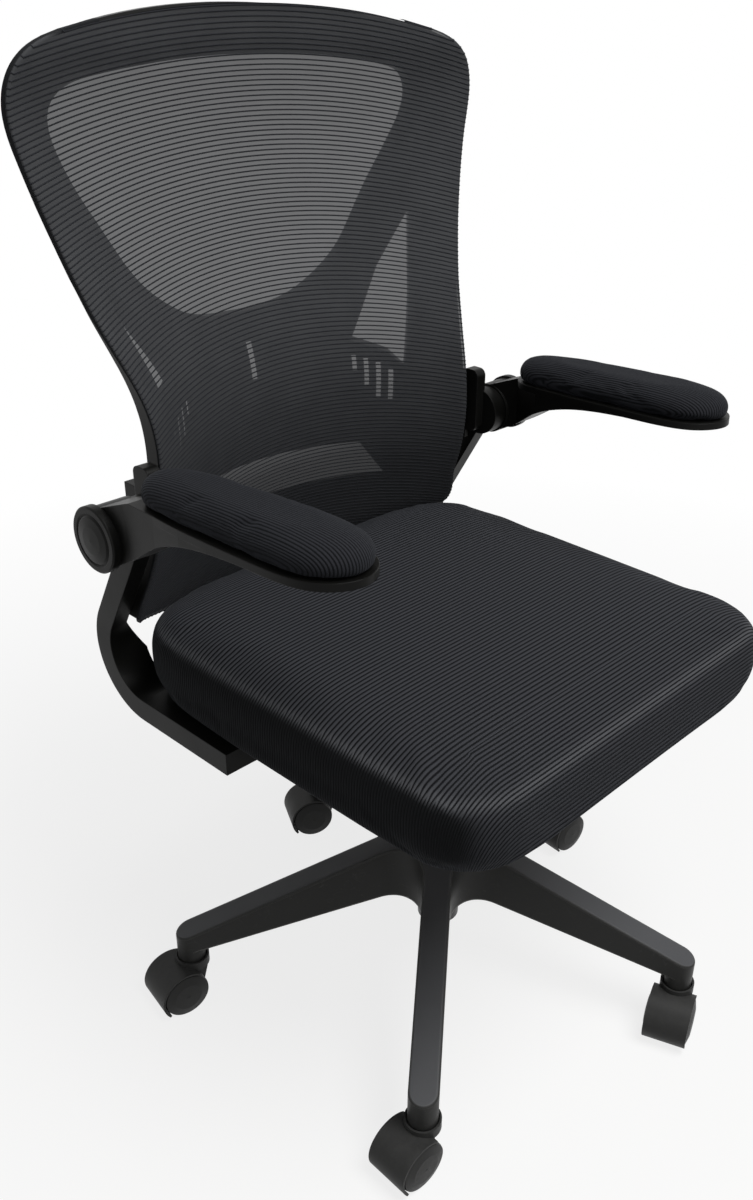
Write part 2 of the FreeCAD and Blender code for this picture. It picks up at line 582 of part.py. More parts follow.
lever_z = valve_top + LEVER_TOUCH_GAP + LEVER_RADIUS
past_wall = vec(-HOUSING_HALF_WIDTH - OVERLAP, 0, lever_z)
lever_slot = rod(LEVER_RADIUS + LEVER_SLOT_CLEARANCE, past_wall, vec(0, 0, lever_z))
screw_bore = post(SCREW_RADIUS + RUN_FIT, 0, SPRING_Y,
                  HOUSING_FLOOR_Z - OVERLAP, housing_floor_top + OVERLAP)
pin_start = vec(LEVER_PIN_X, -LEVER_PIN_HALF, lever_z)
pin_end = vec(LEVER_PIN_X, LEVER_PIN_HALF, lever_z)
pin_ear = box(-housing_inner - OVERLAP, LEVER_PIN_X + LEVER_EAR_HALF, LEVER_RADIUS + LEVER_EAR_GAP,
              LEVER_PIN_HALF, lever_z - LEVER_EAR_HALF, lever_z + LEVER_EAR_HALF)
pin_ears = [pin_ear, pin_ear.mirror(origin, y_axis)]
pin_hole = rod(LEVER_PIN_RADIUS + SEAT_FIT, pin_start, pin_end)
housing = housing.cut([pivot_bore, lever_slot, screw_bore]).fuse(pin_ears)
parts["tilt_housing"] = housing.cut(pin_hole).removeSplitter()
parts["tilt_pivot"] = rod(PIVOT_RADIUS, pivot_left, pivot_right)
clip_start = vec(clip_inner_x, PIVOT_Y, PIVOT_Z)
clip_end = vec(clip_outer_x, PIVOT_Y, PIVOT_Z)
clip = rod(PIVOT_CLIP_RADIUS, clip_start, clip_end).cut(rod(PIVOT_RADIUS + SEAT_FIT, clip_start, clip_end))
parts["pivot_clips"] = Part.makeCompound([clip, mirrored(clip)])

# Seat plate with its two pivot cheeks
plate_z = SEAT_UNDERSIDE_Z - PLATE_THICKNESS
plate = box(-PLATE_HALF_WIDTH, PLATE_HALF_WIDTH, PLATE_FRONT_Y, PLATE_BACK_Y, plate_z, SEAT_UNDERSIDE_Z)
cheek = box(cheek_inner, cheek_outer, PIVOT_Y - CHEEK_HALF_LENGTH, PIVOT_Y + CHEEK_HALF_LENGTH,
            PIVOT_Z - CHEEK_DROP, plate_z)
plate = plate.fuse([cheek, mirrored(cheek)])
plate_rows = (PLATE_BOLT_FRONT_Y, PLATE_BOLT_BACK_Y)
plate_spots = [(x, y) for x in (-PLATE_BOLT_X, PLATE_BOLT_X) for y in plate_rows]
hole_radius = BOLT_RADIUS + BOLT_CLEARANCE
for x, y in plate_spots:
    plate = plate.cut(post(hole_radius, x, y, plate_z, SEAT_UNDERSIDE_Z))
parts["seat_plate"] = plate.cut(pivot_bore).removeSplitter()

# Spring, its seat, the tension knob and the height lever
seat_z = housing_floor_top + SPRING_SEAT_LIFT
seat_top = seat_z + SPRING_SEAT_THICKNESS
spring_foot = seat_top + SPRING_WIRE_RADIUS
spring_height = plate_z - END_GAP - SPRING_WIRE_RADIUS - spring_foot
helix = Part.makeHelix(spring_height / SPRING_TURNS, spring_height, SPRING_RADIUS)
wire = Part.Wire([Part.makeCircle(SPRING_WIRE_RADIUS, vec(SPRING_RADIUS, 0, 0), y_axis)])
coil = Part.Wire(helix.Edges).makePipeShell([wire], True, True)
parts["tilt_spring"] = moved(coil, vec(0, SPRING_Y, spring_foot))
parts["spring_seat"] = post(SPRING_SEAT_RADIUS, 0, SPRING_Y, seat_z, seat_top)
knob_top = HOUSING_FLOOR_Z - KNOB_DROP
knob_low = knob_top - KNOB_HEIGHT
knob = post(KNOB_RADIUS, 0, SPRING_Y, knob_low, knob_top)
flute_circle = KNOB_RADIUS + KNOB_FLUTE_RADIUS / 2
for index in range(KNOB_FLUTES):
    a = 2 * math.pi * index / KNOB_FLUTES
    flute_x = flute_circle * math.cos(a)
    flute_y = SPRING_Y + flute_circle * math.sin(a)
    flute = post(KNOB_FLUTE_RADIUS, flute_x, flute_y, knob_low, knob_top)
    knob = knob.cut(flute)
screw = post(SCREW_RADIUS, 0, SPRING_Y, knob_top - OVERLAP, seat_z - END_GAP)
parts["tension_knob"] = knob.fuse(screw).removeSplitter()
lever_end = vec(LEVER_ROD_END_X, 0, lever_z)
lever = rod(LEVER_RADIUS, lever_end, vec(LEVER_INNER_X, 0, lever_z))
parts["height_lever"] = lever.cut(rod(LEVER_PIN_RADIUS + RUN_FIT, pin_start, pin_end))
parts["lever_pin"] = rod(LEVER_PIN_RADIUS, pin_start, pin_end)
handle = box(LEVER_HANDLE_TIP_X, LEVER_HANDLE_ROOT_X, -LEVER_HANDLE_WIDTH / 2, LEVER_HANDLE_WIDTH / 2,
             lever_z - LEVER_HANDLE_THICKNESS / 2, lever_z + LEVER_HANDLE_THICKNESS / 2)
handle = handle.makeFillet(LEVER_HANDLE_ROUND, handle.Edges)
handle_root = vec(LEVER_HANDLE_ROOT_X, 0, lever_z)
parts["lever_handle"] = handle.cut(rod(LEVER_RADIUS + SEAT_FIT, lever_end, handle_root))


# Seat pan, cushion and their bolts
def seat_outline(inset, z):
    x = SEAT_HALF_WIDTH - inset
    front = SEAT_FRONT_Y + inset
    reach = SEAT_BACK_Y - inset - SEAT_REAR_START_Y
    p = SEAT_FRONT_CORNER - inset * SEAT_CORNER_SHRINK
    bow = 1 - math.sqrt(0.5)
    rear = [vec(x * across, SEAT_REAR_START_Y + reach * back, z) for across, back in SEAT_REAR]
    rear += [vec(-point.x, point.y, z) for point in rear[-2::-1]]
    edges = [line(vec(x, front + p, z), rear[0]), spline(rear), line(rear[-1], vec(-x, front + p, z)),
             arc(vec(-x, front + p, z), vec(p * bow - x, front + p * bow, z), vec(p - x, front, z)),
             line(vec(p - x, front, z), vec(x - p, front, z)),
             arc(vec(x - p, front, z), vec(x - p * bow, front + p * bow, z), vec(x, front + p, z))]
    return Part.Wire(edges)


pan_top = SEAT_UNDERSIDE_Z + PAN_THICKNESS
pan = Part.Face(seat_outline(PAN_INSET, SEAT_UNDERSIDE_Z)).extrude(z_axis * PAN_THICKNESS)
cushion_z = SEAT_UNDERSIDE_Z + CUSHION_LIFT
layers = [seat_outline(inset, cushion_z + rise) for rise, inset in CUSHION_SIDE + CUSHION_CROWN]
cushion = Part.makeLoft(layers, True, True)
pan_room = Part.Face(seat_outline(PAN_INSET - SEAT_FIT, SEAT_UNDERSIDE_Z)).extrude(z_axis * PAN_THICKNESS)
parts["seat_cushion"] = cushion.cut(pan_room)
foot_inner = SUPPORT_OUTER_X - SUPPORT_FOOT_WIDTH
foot_plate_inner = foot_inner - FOOT_PLATE_REACH
foot_x = (foot_plate_inner + FOOT_BOLT_INSET, foot_inner - FOOT_BOLT_INSET)
foot_y = (FOOT_PLATE_FRONT_Y + FOOT_BOLT_INSET, FOOT_PLATE_BACK_Y - FOOT_BOLT_INSET)
foot_spots = [(x, y) for x in foot_x for y in foot_y]
both_feet = foot_spots + [(-x, y) for x, y in foot_spots]
bolt_tip = pan_top - BOLT_TIP_COVER
for x, y in plate_spots + both_feet:
    pan = pan.cut(post(hole_radius, x, y, SEAT_UNDERSIDE_Z, bolt_tip + END_GAP))
parts["seat_pan"] = pan


def bolt(x, y, seat):
    head = post(BOLT_HEAD_RADIUS, x, y, seat - BOLT_HEAD, seat)
    return head.fuse(post(BOLT_RADIUS, x, y, seat, bolt_tip))


foot_plate_z = SEAT_UNDERSIDE_Z - FOOT_PLATE_THICKNESS
parts["plate_bolts"] = Part.makeCompound([bolt(x, y, plate_z) for x, y in plate_spots])
parts["support_bolts"] = Part.makeCompound([bolt(x, y, foot_plate_z) for x, y in both_feet])

# Arm support: a band that runs back under the seat, turns up and leans forward to the arm pivot
band_half = SUPPORT_THICKNESS / 2
bend_inner = SUPPORT_BEND_RADIUS - band_half
bend_outer = SUPPORT_BEND_RADIUS + band_half
bend_z = SEAT_UNDERSIDE_Z + bend_inner
to_pivot = vec(0, ARM_PIVOT_Y - SUPPORT_FOOT_BACK_Y, ARM_PIVOT_Z - bend_z)
pivot_distance = to_pivot.Length
bend_start = -math.pi / 2
bend_end = math.asin(SUPPORT_BEND_RADIUS / pivot_distance) - math.atan2(to_pivot.y, to_pivot.z)
upright_length = math.sqrt(pivot_distance ** 2 - SUPPORT_BEND_RADIUS ** 2)
upright = vec(0, -math.sin(bend_end), math.cos(bend_end)) * upright_length


def bend_point(radius, angle):
    back = SUPPORT_FOOT_BACK_Y + radius * math.cos(angle)
    return vec(foot_inner, back, bend_z + radius * math.sin(angle))


bend_middle = (bend_start + bend_end) / 2
foot_low = vec(foot_inner, SUPPORT_FOOT_FRONT_Y, bend_z - bend_outer)
foot_high = vec(foot_inner, SUPPORT_FOOT_FRONT_Y, SEAT_UNDERSIDE_Z)
rear_low = bend_point(bend_outer, bend_start)
rear_high = bend_point(bend_outer, bend_end)
front_high = bend_point(bend_inner, bend_end)
front_low = bend_point(bend_inner, bend_start)
upright_rear = rear_high + upright
upright_front = front_high + upright
band_wire = Part.Wire([line(foot_low, rear_low),
                       arc(rear_low, bend_point(bend_outer, bend_middle), rear_high),
                       line(rear_high, upright_rear), line(upright_rear, upright_front),
                       line(upright_front, front_high),
                       arc(front_high, bend_point(bend_inner, bend_middle), front_low),
                       line(front_low, foot_high), line(foot_high, foot_low)])
support = Part.Face(band_wire).extrude(x_axis * SUPPORT_FOOT_WIDTH)
upright_inner = SUPPORT_OUTER_X - SUPPORT_UPRIGHT_WIDTH
past_bend_y = SUPPORT_FOOT_BACK_Y + 2 * SUPPORT_BEND_RADIUS
narrow_side = [(upright_inner, EAR_TOP_Z), (foot_inner - OVERLAP, EAR_TOP_Z),
               (foot_inner - OVERLAP, SUPPORT_NARROW_Z - SUPPORT_FOOT_WIDTH),
               (upright_inner, SUPPORT_NARROW_Z)]
support = support.cut(prism([vec(x, 0, z) for x, z in narrow_side], y_axis * past_bend_y))
pivot_spot = vec(0, ARM_PIVOT_Y, ARM_PIVOT_Z)


def pivot_rod(radius, start_x, end_x):
    return rod(radius, pivot_spot + x_axis * start_x, pivot_spot + x_axis * end_x)


boss = pivot_rod(SUPPORT_BOSS_RADIUS, upright_inner, SUPPORT_OUTER_X)
foot_plate = box(foot_plate_inner, foot_inner + OVERLAP, FOOT_PLATE_FRONT_Y, FOOT_PLATE_BACK_Y,
                 foot_plate_z, SEAT_UNDERSIDE_Z)
for x, y in foot_spots:
    foot_plate = foot_plate.cut(post(hole_radius, x, y, foot_plate_z, SEAT_UNDERSIDE_Z))
ear = box(EAR_INNER_X, EAR_OUTER_X, EAR_FRONT_Y, EAR_BACK_Y, EAR_BOTTOM_Z, EAR_TOP_Z)
ear = ear.makeFillet(EAR_ROUND, [edge for edge in ear.Edges if edge.BoundBox.XLength > OVERLAP])
tab_back = TAB_FRONT_Y + TAB_THICKNESS
link = box(EAR_INNER_X, LINK_OUTER_X, EAR_BACK_Y - EAR_ROUND, tab_back, TAB_BOTTOM_Z, TAB_TOP_Z)
tab = box(TAB_INNER_X, EAR_INNER_X + OVERLAP, TAB_FRONT_Y, tab_back, TAB_BOTTOM_Z, TAB_TOP_Z)
bolt_levels = (TAB_BOTTOM_Z + BACK_BOLT_EDGE, TAB_TOP_Z - BACK_BOLT_EDGE)
back_spots = [vec(BACK_BOLT_X, 0, z) for z in bolt_levels]
for spot in back_spots:
    tab = tab.cut(rod(hole_radius, spot + y_axis * TAB_FRONT_Y, spot + y_axis * tab_back))
support = support.fuse([boss, foot_plate, ear, link, tab])
shaft_inner = SUPPORT_OUTER_X - SHAFT_GRIP
shaft_bore = pivot_rod(SHAFT_RADIUS + SEAT_FIT, shaft_inner, SUPPORT_OUTER_X + OVERLAP)
support = support.cut(shaft_bore).removeSplitter()
parts["arm_support_left"] = support
parts["arm_support_right"] = mirrored(support)

# Armrest: pivot shaft, swan-neck arm with its tray, cap and pad
hub_inner = SUPPORT_OUTER_X + END_GAP
head_outer = ARM_HUB_OUTER_X - CAP_SPIGOT - END_GAP
head_inner = head_outer - SHAFT_HEAD
shaft_head = pivot_rod(SHAFT_HEAD_RADIUS, head_inner, head_outer)
shaft = pivot_rod(SHAFT_RADIUS, shaft_inner, head_outer).fuse(shaft_head)
pad_rear_y = PAD_SIDE[0][0]
pad_front_y = PAD_SIDE[-1][0]
pad_mid_y = (pad_rear_y + pad_front_y) / 2
pad_half = (pad_rear_y - pad_front_y) / 2
pad_width = max(width for y, width in PAD_SIDE)


def pad_loop(inset, z):
    wide = 1 - inset / pad_width
    long = 1 - inset / pad_half
    right = [vec(PAD_X + width * wide, pad_mid_y + (y - pad_mid_y) * long, z) for y, width in PAD_SIDE]
    left = [vec(2 * PAD_X - point.x, point.y, z) for point in right[-2:0:-1]]
    return loop(right + left)


def sloped(shape):
    return rotated(shape, vec(0, pad_mid_y, PAD_UNDER_Z), x_axis, -PAD_SLOPE)


def pad_under(y):
    return PAD_UNDER_Z + math.tan(math.radians(PAD_SLOPE)) * (pad_mid_y - y)


tray = sloped(Part.Face(pad_loop(0, PAD_UNDER_Z - TRAY_THICKNESS)).extrude(z_axis * TRAY_THICKNESS))
under = [vec(0, ARM_PIVOT_Y, ARM_PIVOT_Z - ARM_HUB_RADIUS)] + [vec(0, y, z) for y, z in ARM_UNDER]
under.append(vec(0, ARM_UNDER_END_Y, pad_under(ARM_UNDER_END_Y) - TRAY_THICKNESS + OVERLAP))
front_top = vec(0, ARM_UNDER_END_Y, pad_under(ARM_UNDER_END_Y))
rear_top = vec(0, PAD_SIDE[1][0], pad_under(PAD_SIDE[1][0]))
hub_top = vec(0, ARM_PIVOT_Y, ARM_PIVOT_Z + ARM_HUB_RADIUS)
neck_wire = Part.Wire([spline(under), line(under[-1], front_top), line(front_top, rear_top),
                       line(rear_top, hub_top), line(hub_top, under[0])])
neck = Part.Face(neck_wire).extrude(x_axis * (PAD_X + 2 * pad_width))
neck_rows = PAD_SIDE[3:]
neck_plan = [vec(hub_inner, ARM_PIVOT_Y, 0), vec(ARM_HUB_OUTER_X, ARM_PIVOT_Y, 0)]
neck_plan.append(vec(ARM_HUB_OUTER_X, ARM_NECK_Y, 0))
neck_plan += [vec(PAD_X + width, y, 0) for y, width in neck_rows]
neck_plan += [vec(PAD_X - width, y, 0) for y, width in neck_rows[-2::-1]]
neck_plan.append(vec(ARM_NECK_INNER_X, ARM_NECK_Y, 0))
neck = neck.common(prism(neck_plan, z_axis * (2 * PAD_UNDER_Z)))
arm = tray.fuse([neck, pivot_rod(ARM_HUB_RADIUS, hub_inner, ARM_HUB_OUTER_X)])
counterbore = SHAFT_HEAD_RADIUS + CAP_SPIGOT_WALL + CAP_SPIGOT_ROOM
arm = arm.cut([pivot_rod(SHAFT_RADIUS + RUN_FIT, hub_inner, head_inner),
               pivot_rod(counterbore, head_inner - END_GAP, ARM_HUB_OUTER_X + OVERLAP)])
pad = sloped(Part.makeLoft([pad_loop(inset, PAD_UNDER_Z + rise) for rise, inset in PAD_LAYERS], True, True))
screws = []
for y in PAD_SCREW_Y:
    head_low = pad_under(y) - TRAY_THICKNESS
    head_top = head_low + PAD_SCREW_HEAD
    tip = pad_under(y) + PAD_SCREW_REACH
    bore = post(PAD_SCREW_RADIUS + BOLT_CLEARANCE, PAD_X, y, head_low, tip + END_GAP)
    recess = post(PAD_SCREW_HEAD_RADIUS + BOLT_CLEARANCE, PAD_X, y, head_top - PAD_SCREW_RECESS, head_top)
    arm = arm.cut([bore, recess])
    pad = pad.cut(bore)
    head = post(PAD_SCREW_HEAD_RADIUS, PAD_X, y, head_low, head_top)
    screws.append(head.fuse(post(PAD_SCREW_RADIUS, PAD_X, y, head_top, tip)))
arm = arm.removeSplitter()

ring_low = CAP_THICKNESS - 2 * CAP_RING_STEP
ring_top = CAP_THICKNESS - CAP_RING_STEP
cap = turned([(0, 0), (CAP_RADIUS, 0), (CAP_RADIUS, ring_low), (CAP_RADIUS - CAP_RING_STEP, ring_top),
              (CAP_DOME_RADIUS + CAP_RING_STEP, ring_top), (CAP_DOME_RADIUS, ring_low),
              (CAP_DOME_RADIUS * 0.9, CAP_THICKNESS - CAP_RING_STEP / 2),
              (CAP_DOME_RADIUS * 0.55, CAP_THICKNESS + CAP_CROWN / 2), (0, CAP_THICKNESS + CAP_CROWN)])
spigot = post(counterbore - SEAT_FIT, 0, 0, -CAP_SPIGOT, 0)
spigot = spigot.cut(post(counterbore - CAP_SPIGOT_WALL, 0, 0, -CAP_SPIGOT, 0))
cap = moved(rotated(cap.fuse(spigot), origin, y_axis, 90), pivot_spot + x_axis * ARM_HUB_OUTER_X)
armrest = {"arm_shaft": shaft, "arm": arm, "arm_cap": cap, "arm_pad": pad,
           "pad_screws": Part.makeCompound(screws)}
for name, shape in armrest.items():
    parts[name + "_left"] = shape
    parts[name + "_right"] = mirrored(shape)


# Back: a bowed moulding behind a stretched cloth that share one outline
def back_outline(inset):
    side_rows = [(x, z) for z, x, y in BACK_EDGE if BACK_BOTTOM_Z < z < BACK_TOP[0][1]]
    right = [vec(x, 0, z) for x, z in side_rows + list(BACK_TOP)]
    rim = right + [vec(-point.x, 0, point.z) for point in right[-2::-1]]
    edge = []
    for index, point in enumerate(rim):
        before = rim[max(index - 1, 0)]
        after = rim[min(index + 1, len(rim) - 1)]
        along = (after - before).normalize()
        edge.append(point + vec(-along.z, 0, along.x) * inset)
    bottom_half = table(BACK_EDGE, BACK_BOTTOM_Z, 1)
    corner_x = bottom_half - inset - BACK_BOTTOM_CORNER

    def bottom(x):
        return vec(x, 0, BACK_BOTTOM_Z + inset - BACK_BOTTOM_DIP * (1 - (x / bottom_half) ** 2))

    turn = bottom(corner_x) + vec(BACK_BOTTOM_CORNER * 0.8, 0, BACK_BOTTOM_CORNER * 0.35)
    upper = [bottom(corner_x), turn] + edge + [vec(-turn.x, 0, turn.z), bottom(-corner_x)]
    lower = [bottom(-corner_x + corner_x * step / 4) for step in range(9)]
    return Part.Wire([spline(upper), spline(lower)])


def back_depth(sag, x, z):
    half_width = table(BACK_EDGE, z, 1)
    return table(BACK_EDGE, z, 2) + table(sag, z, 1) * (1 - (x / half_width) ** 2)


def back_face(sag, lift):
    reach = math.ceil(max(row[1] for row in BACK_EDGE) / SURFACE_STEP) + 1
    grid = []
    for z, half_width, front in BACK_EDGE:
        columns = [step * SURFACE_STEP for step in range(-reach, reach + 1)]
        grid.append([vec(x, back_depth(sag, x, z) + table(lift, z, 1), z) for x in columns])
    below = [vec(p.x, 2 * p.y - q.y, 2 * p.z - q.z) for p, q in zip(grid[0], grid[1])]
    surface = Part.BSplineSurface()
    surface.interpolate([below] + grid)
    return surface.toShape()


def level(lift):
    return [(z, lift) for z, half_width, front in (BACK_EDGE[0], BACK_EDGE[-1])]


through = y_axis * CUT_LENGTH
frame_front = CLOTH_THICKNESS + CLOTH_GAP
outline = Part.Face(back_outline(0)).extrude(through)
frame_outline = Part.Face(back_outline(FRAME_EDGE_INSET)).extrude(through)
inside = Part.Face(back_outline(FRAME_EDGE_INSET + FRAME_RIM_WIDTH)).extrude(through)
edge_band = frame_outline.cut(inside)
front = back_face(FRAME_SAG, level(frame_front))
rim_back = back_face(FRAME_SAG, [(z, frame_front + depth) for z, depth in FRAME_RIM_DEPTH])
panel = front.extrude(y_axis * FRAME_THICKNESS).common(frame_outline)
rim = edge_band.common(front.extrude(through)).cut(rim_back.extrude(through))
bead_slab = front.extrude(y_axis * WINDOW_BEAD_DEPTH).common(frame_outline)
wing_slab = front.extrude(y_axis * WING_BEAD_DEPTH).common(frame_outline)


def grown(points, width):
    low = min(point.z for point in points)
    high = max(point.z for point in points)
    left = min(point.x for point in points)
    right = max(point.x for point in points)
    wide = 1 + 2 * width / (right - left)
    tall = 1 + 2 * width / (high - low)
    centre = vec((left + right) / 2, points[0].y, (low + high) / 2)
    return [centre + vec((p.x - centre.x) * wide, 0, (p.z - centre.z) * tall) for p in points]


shield_half = [vec(x, 0, z) for x, z in SHIELD]
shield_loop = shield_half + [vec(-point.x, 0, point.z) for point in shield_half[-2:0:-1]]
shield = Part.Face(loop(shield_loop)).extrude(through)
beads = [bead_slab.common(Part.Face(loop(grown(shield_loop, WINDOW_BEAD_WIDTH))).extrude(through))]
cuts = [shield]
for sign in (-1, 1):
    lean = vec(sign * math.tan(math.radians(WING_ANGLE)), 1, 0)
    corners = []
    for x, z in TRIANGLE:
        corners.append(vec(sign * x, 0, z) - vec(lean.x, 0, 0) * back_depth(FRAME_SAG, x, z))
    bead = prism(grown(corners, WINDOW_BEAD_WIDTH), lean * CUT_LENGTH)
    beads.append(wing_slab.common(bead))
    cuts.append(prism(corners, lean * CUT_LENGTH))
    for x, low, high in SLITS:
        cuts.append(box(sign * x - SLIT_WIDTH / 2, sign * x + SLIT_WIDTH / 2, 0, CUT_LENGTH, low, high))
cuts.append(box(-MIDDLE_SLIT_WIDTH / 2, MIDDLE_SLIT_WIDTH / 2, 0, CUT_LENGTH,
                MIDDLE_SLIT_BOTTOM_Z, MIDDLE_SLIT_TOP_Z))
low_right = [vec(x, 0, z) for x, z in LOW_WINDOW]
cuts.append(prism(low_right + [vec(-point.x, 0, point.z) for point in low_right[::-1]], through))
tab_room = box(TAB_INNER_X - END_GAP, LINK_OUTER_X, TAB_FRONT_Y, CUT_LENGTH,
               TAB_BOTTOM_Z - END_GAP, TAB_TOP_Z + END_GAP)
cuts += [tab_room, mirrored(tab_room)]
frame = panel.fuse([rim] + beads).cut(cuts)
behind = back_face(FRAME_SAG, level(frame_front + FRAME_THICKNESS / 2)).extrude(through)
lug = box(TAB_INNER_X, LUG_OUTER_X, 0, TAB_FRONT_Y, TAB_BOTTOM_Z, TAB_TOP_Z).common(behind)
bolt_floor = TAB_FRONT_Y - BACK_BOLT_DEPTH
back_bolts = []
bolt_bores = []
for spot in back_spots:
    bolt_bores.append(rod(hole_radius, spot + y_axis * bolt_floor, spot + y_axis * TAB_FRONT_Y))
    head = rod(BOLT_HEAD_RADIUS, spot + y_axis * tab_back, spot + y_axis * (tab_back + BOLT_HEAD))
    shank = rod(BOLT_RADIUS, spot + y_axis * (bolt_floor + END_GAP), spot + y_axis * tab_back)
    back_bolts.append(head.fuse(shank))
frame = frame.fuse([lug, mirrored(lug)]).cut(bolt_bores + [mirrored(bore) for bore in bolt_bores])
parts["back_frame"] = frame
parts["back_mesh"] = back_face(CLOTH_SAG, level(0)).extrude(y_axis * CLOTH_THICKNESS).common(outline)
parts["back_bolts"] = Part.makeCompound(back_bolts + [mirrored(bolt_shape) for bolt_shape in back_bolts])

os.makedirs("parts", exist_ok=True)
for name, shape in parts.items():
    shape.exportStep("parts/" + name + ".step")
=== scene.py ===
import math

import bpy
import numpy as np
from mathutils import Matrix, Vector
from mathutils.bvhtree import BVHTree


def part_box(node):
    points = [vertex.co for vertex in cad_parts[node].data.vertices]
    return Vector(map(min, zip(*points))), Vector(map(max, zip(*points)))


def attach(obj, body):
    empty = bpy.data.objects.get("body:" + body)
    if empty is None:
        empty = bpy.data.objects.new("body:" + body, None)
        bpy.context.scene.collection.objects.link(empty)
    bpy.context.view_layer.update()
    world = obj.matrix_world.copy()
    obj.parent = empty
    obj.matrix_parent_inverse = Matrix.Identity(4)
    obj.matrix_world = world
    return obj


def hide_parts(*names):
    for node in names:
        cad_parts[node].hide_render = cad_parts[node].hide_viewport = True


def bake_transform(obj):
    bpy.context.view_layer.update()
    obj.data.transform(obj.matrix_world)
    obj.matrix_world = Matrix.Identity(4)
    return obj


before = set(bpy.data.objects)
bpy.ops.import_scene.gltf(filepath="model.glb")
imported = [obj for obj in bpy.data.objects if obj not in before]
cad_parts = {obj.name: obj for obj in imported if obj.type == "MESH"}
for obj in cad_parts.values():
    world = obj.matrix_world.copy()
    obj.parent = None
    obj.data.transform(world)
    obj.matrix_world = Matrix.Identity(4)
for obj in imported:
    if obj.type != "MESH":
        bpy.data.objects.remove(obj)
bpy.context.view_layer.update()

# Star base
# One five-legged moulding in glass-filled nylon, ejected from a tool with a fine sparked texture.
# Its legs carry light scuffs from shoes, and dust and painted light pale their tops.


def linear(hex_colour):
    channels = [int(hex_colour[start:start + 2], 16) / 255 for start in (1, 3, 5)]
    return [c / 12.92 if c <= 0.04045 else ((c + 0.055) / 1.055) ** 2.4 for c in channels] + [1.0]


def add(material, kind, settings=None, inputs=None):
    node = material.node_tree.nodes.new(kind)
    for name, value in (settings or {}).items():
        setattr(node, name, value)
    for name, value in (inputs or {}).items():
        if isinstance(value, bpy.types.NodeSocket):
            material.node_tree.links.new(value, node.inputs[name])
        else:
            node.inputs[name].default_value = value
    return node


def new_material(name):
    material = bpy.data.materials.new(name)
    material.use_nodes = True
    material.node_tree.nodes.clear()
    return material


def finish_nodes(material, *names):
    for name in names:
        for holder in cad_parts[name].material_slots:
            holder.material = material


# Sparked nylon: the grain breaks the gloss into a soft satin, scuffs show as paler, drier streaks, dust and
# painted light pale the tops and the edges are rubbed pale. The real grain is about 0.3 mm and is drawn at
# 1.4 mm.
leg_nylon = new_material("sparked_black_nylon")
place = add(leg_nylon, "ShaderNodeTexCoord")
grain = add(leg_nylon, "ShaderNodeTexNoise", inputs={
    "Vector": place.outputs["Object"], "Scale": 1 / 0.0014, "Detail": 2.0, "Roughness": 0.6})
blotch = add(leg_nylon, "ShaderNodeTexNoise", inputs={
    "Vector": place.outputs["Object"], "Scale": 1 / 0.045, "Detail": 4.0, "Roughness": 0.65})
scuff = add(leg_nylon, "ShaderNodeTexNoise", inputs={
    "Vector": place.outputs["Object"], "Scale": 1 / 0.011, "Detail": 6.0, "Roughness": 0.75,
    "Distortion": 1.6})
scuffed = add(leg_nylon, "ShaderNodeMapRange", inputs={
    "Value": scuff.outputs["Fac"], "From Min": 0.58, "From Max": 0.78, "To Min": 0.0, "To Max": 0.6})
tone = add(leg_nylon, "ShaderNodeMix", {"data_type": "RGBA"}, {
    "Factor": blotch.outputs["Fac"], "A": linear("#252524"), "B": linear("#343433")})
worn = add(leg_nylon, "ShaderNodeMix", {"data_type": "RGBA"}, {
    "Factor": scuffed.outputs["Result"], "A": tone.outputs["Result"], "B": linear("#504f4d")})
side = add(leg_nylon, "ShaderNodeNewGeometry")
rise = add(leg_nylon, "ShaderNodeSeparateXYZ", inputs={"Vector": side.outputs["Normal"]})
# Upward-facing tops are paled towards grey: partly dust, partly painted light.
dust_and_top_light = add(leg_nylon, "ShaderNodeMapRange", inputs={
    "Value": rise.outputs["Z"], "From Min": 0.75, "From Max": 0.98, "To Min": 0.0, "To Max": 0.85})
dusted_and_top_lit = add(leg_nylon, "ShaderNodeMix", {"data_type": "RGBA"}, {
    "Factor": dust_and_top_light.outputs["Result"], "A": worn.outputs["Result"], "B": linear("#5e5f62")})
edge = add(leg_nylon, "ShaderNodeBevel", {"samples": 8}, {"Radius": 0.0035})
bend = add(leg_nylon, "ShaderNodeVectorMath", {"operation": "DOT_PRODUCT"}, {
    0: edge.outputs["Normal"], 1: side.outputs["Normal"]})
rubbed = add(leg_nylon, "ShaderNodeMapRange", inputs={
    "Value": bend.outputs["Value"], "From Min": 0.998, "From Max": 0.93, "To Min": 0.0, "To Max": 0.8})
pale = add(leg_nylon, "ShaderNodeMix", {"data_type": "RGBA"}, {
    "Factor": rubbed.outputs["Result"], "A": dusted_and_top_lit.outputs["Result"], "B": linear("#858582")})
dry = add(leg_nylon, "ShaderNodeMapRange", inputs={
    "Value": blotch.outputs["Fac"], "From Min": 0.3, "From Max": 0.7, "To Min": 0.36, "To Max": 0.52})
relief = add(leg_nylon, "ShaderNodeBump", inputs={
    "Strength": 0.25, "Distance": 0.0004, "Height": grain.outputs["Fac"], "Normal": edge.outputs["Normal"]})
shader = add(leg_nylon, "ShaderNodeBsdfPrincipled", inputs={
    "Base Color": pale.outputs["Result"], "Roughness": dry.outputs["Result"], "IOR": 1.5,
    "Specular IOR Level": 0.16, "Normal": relief.outputs["Normal"]})
add(leg_nylon, "ShaderNodeOutputMaterial", inputs={"Surface": shader.outputs["BSDF"]})
finish_nodes(leg_nylon, "star_base")

# Casters
# Twin nylon wheels under a moulded hood, on a steel stem that snaps into the leg's stub.
# Hoods and wheels come from polished tools, so they are smoother than the legs.

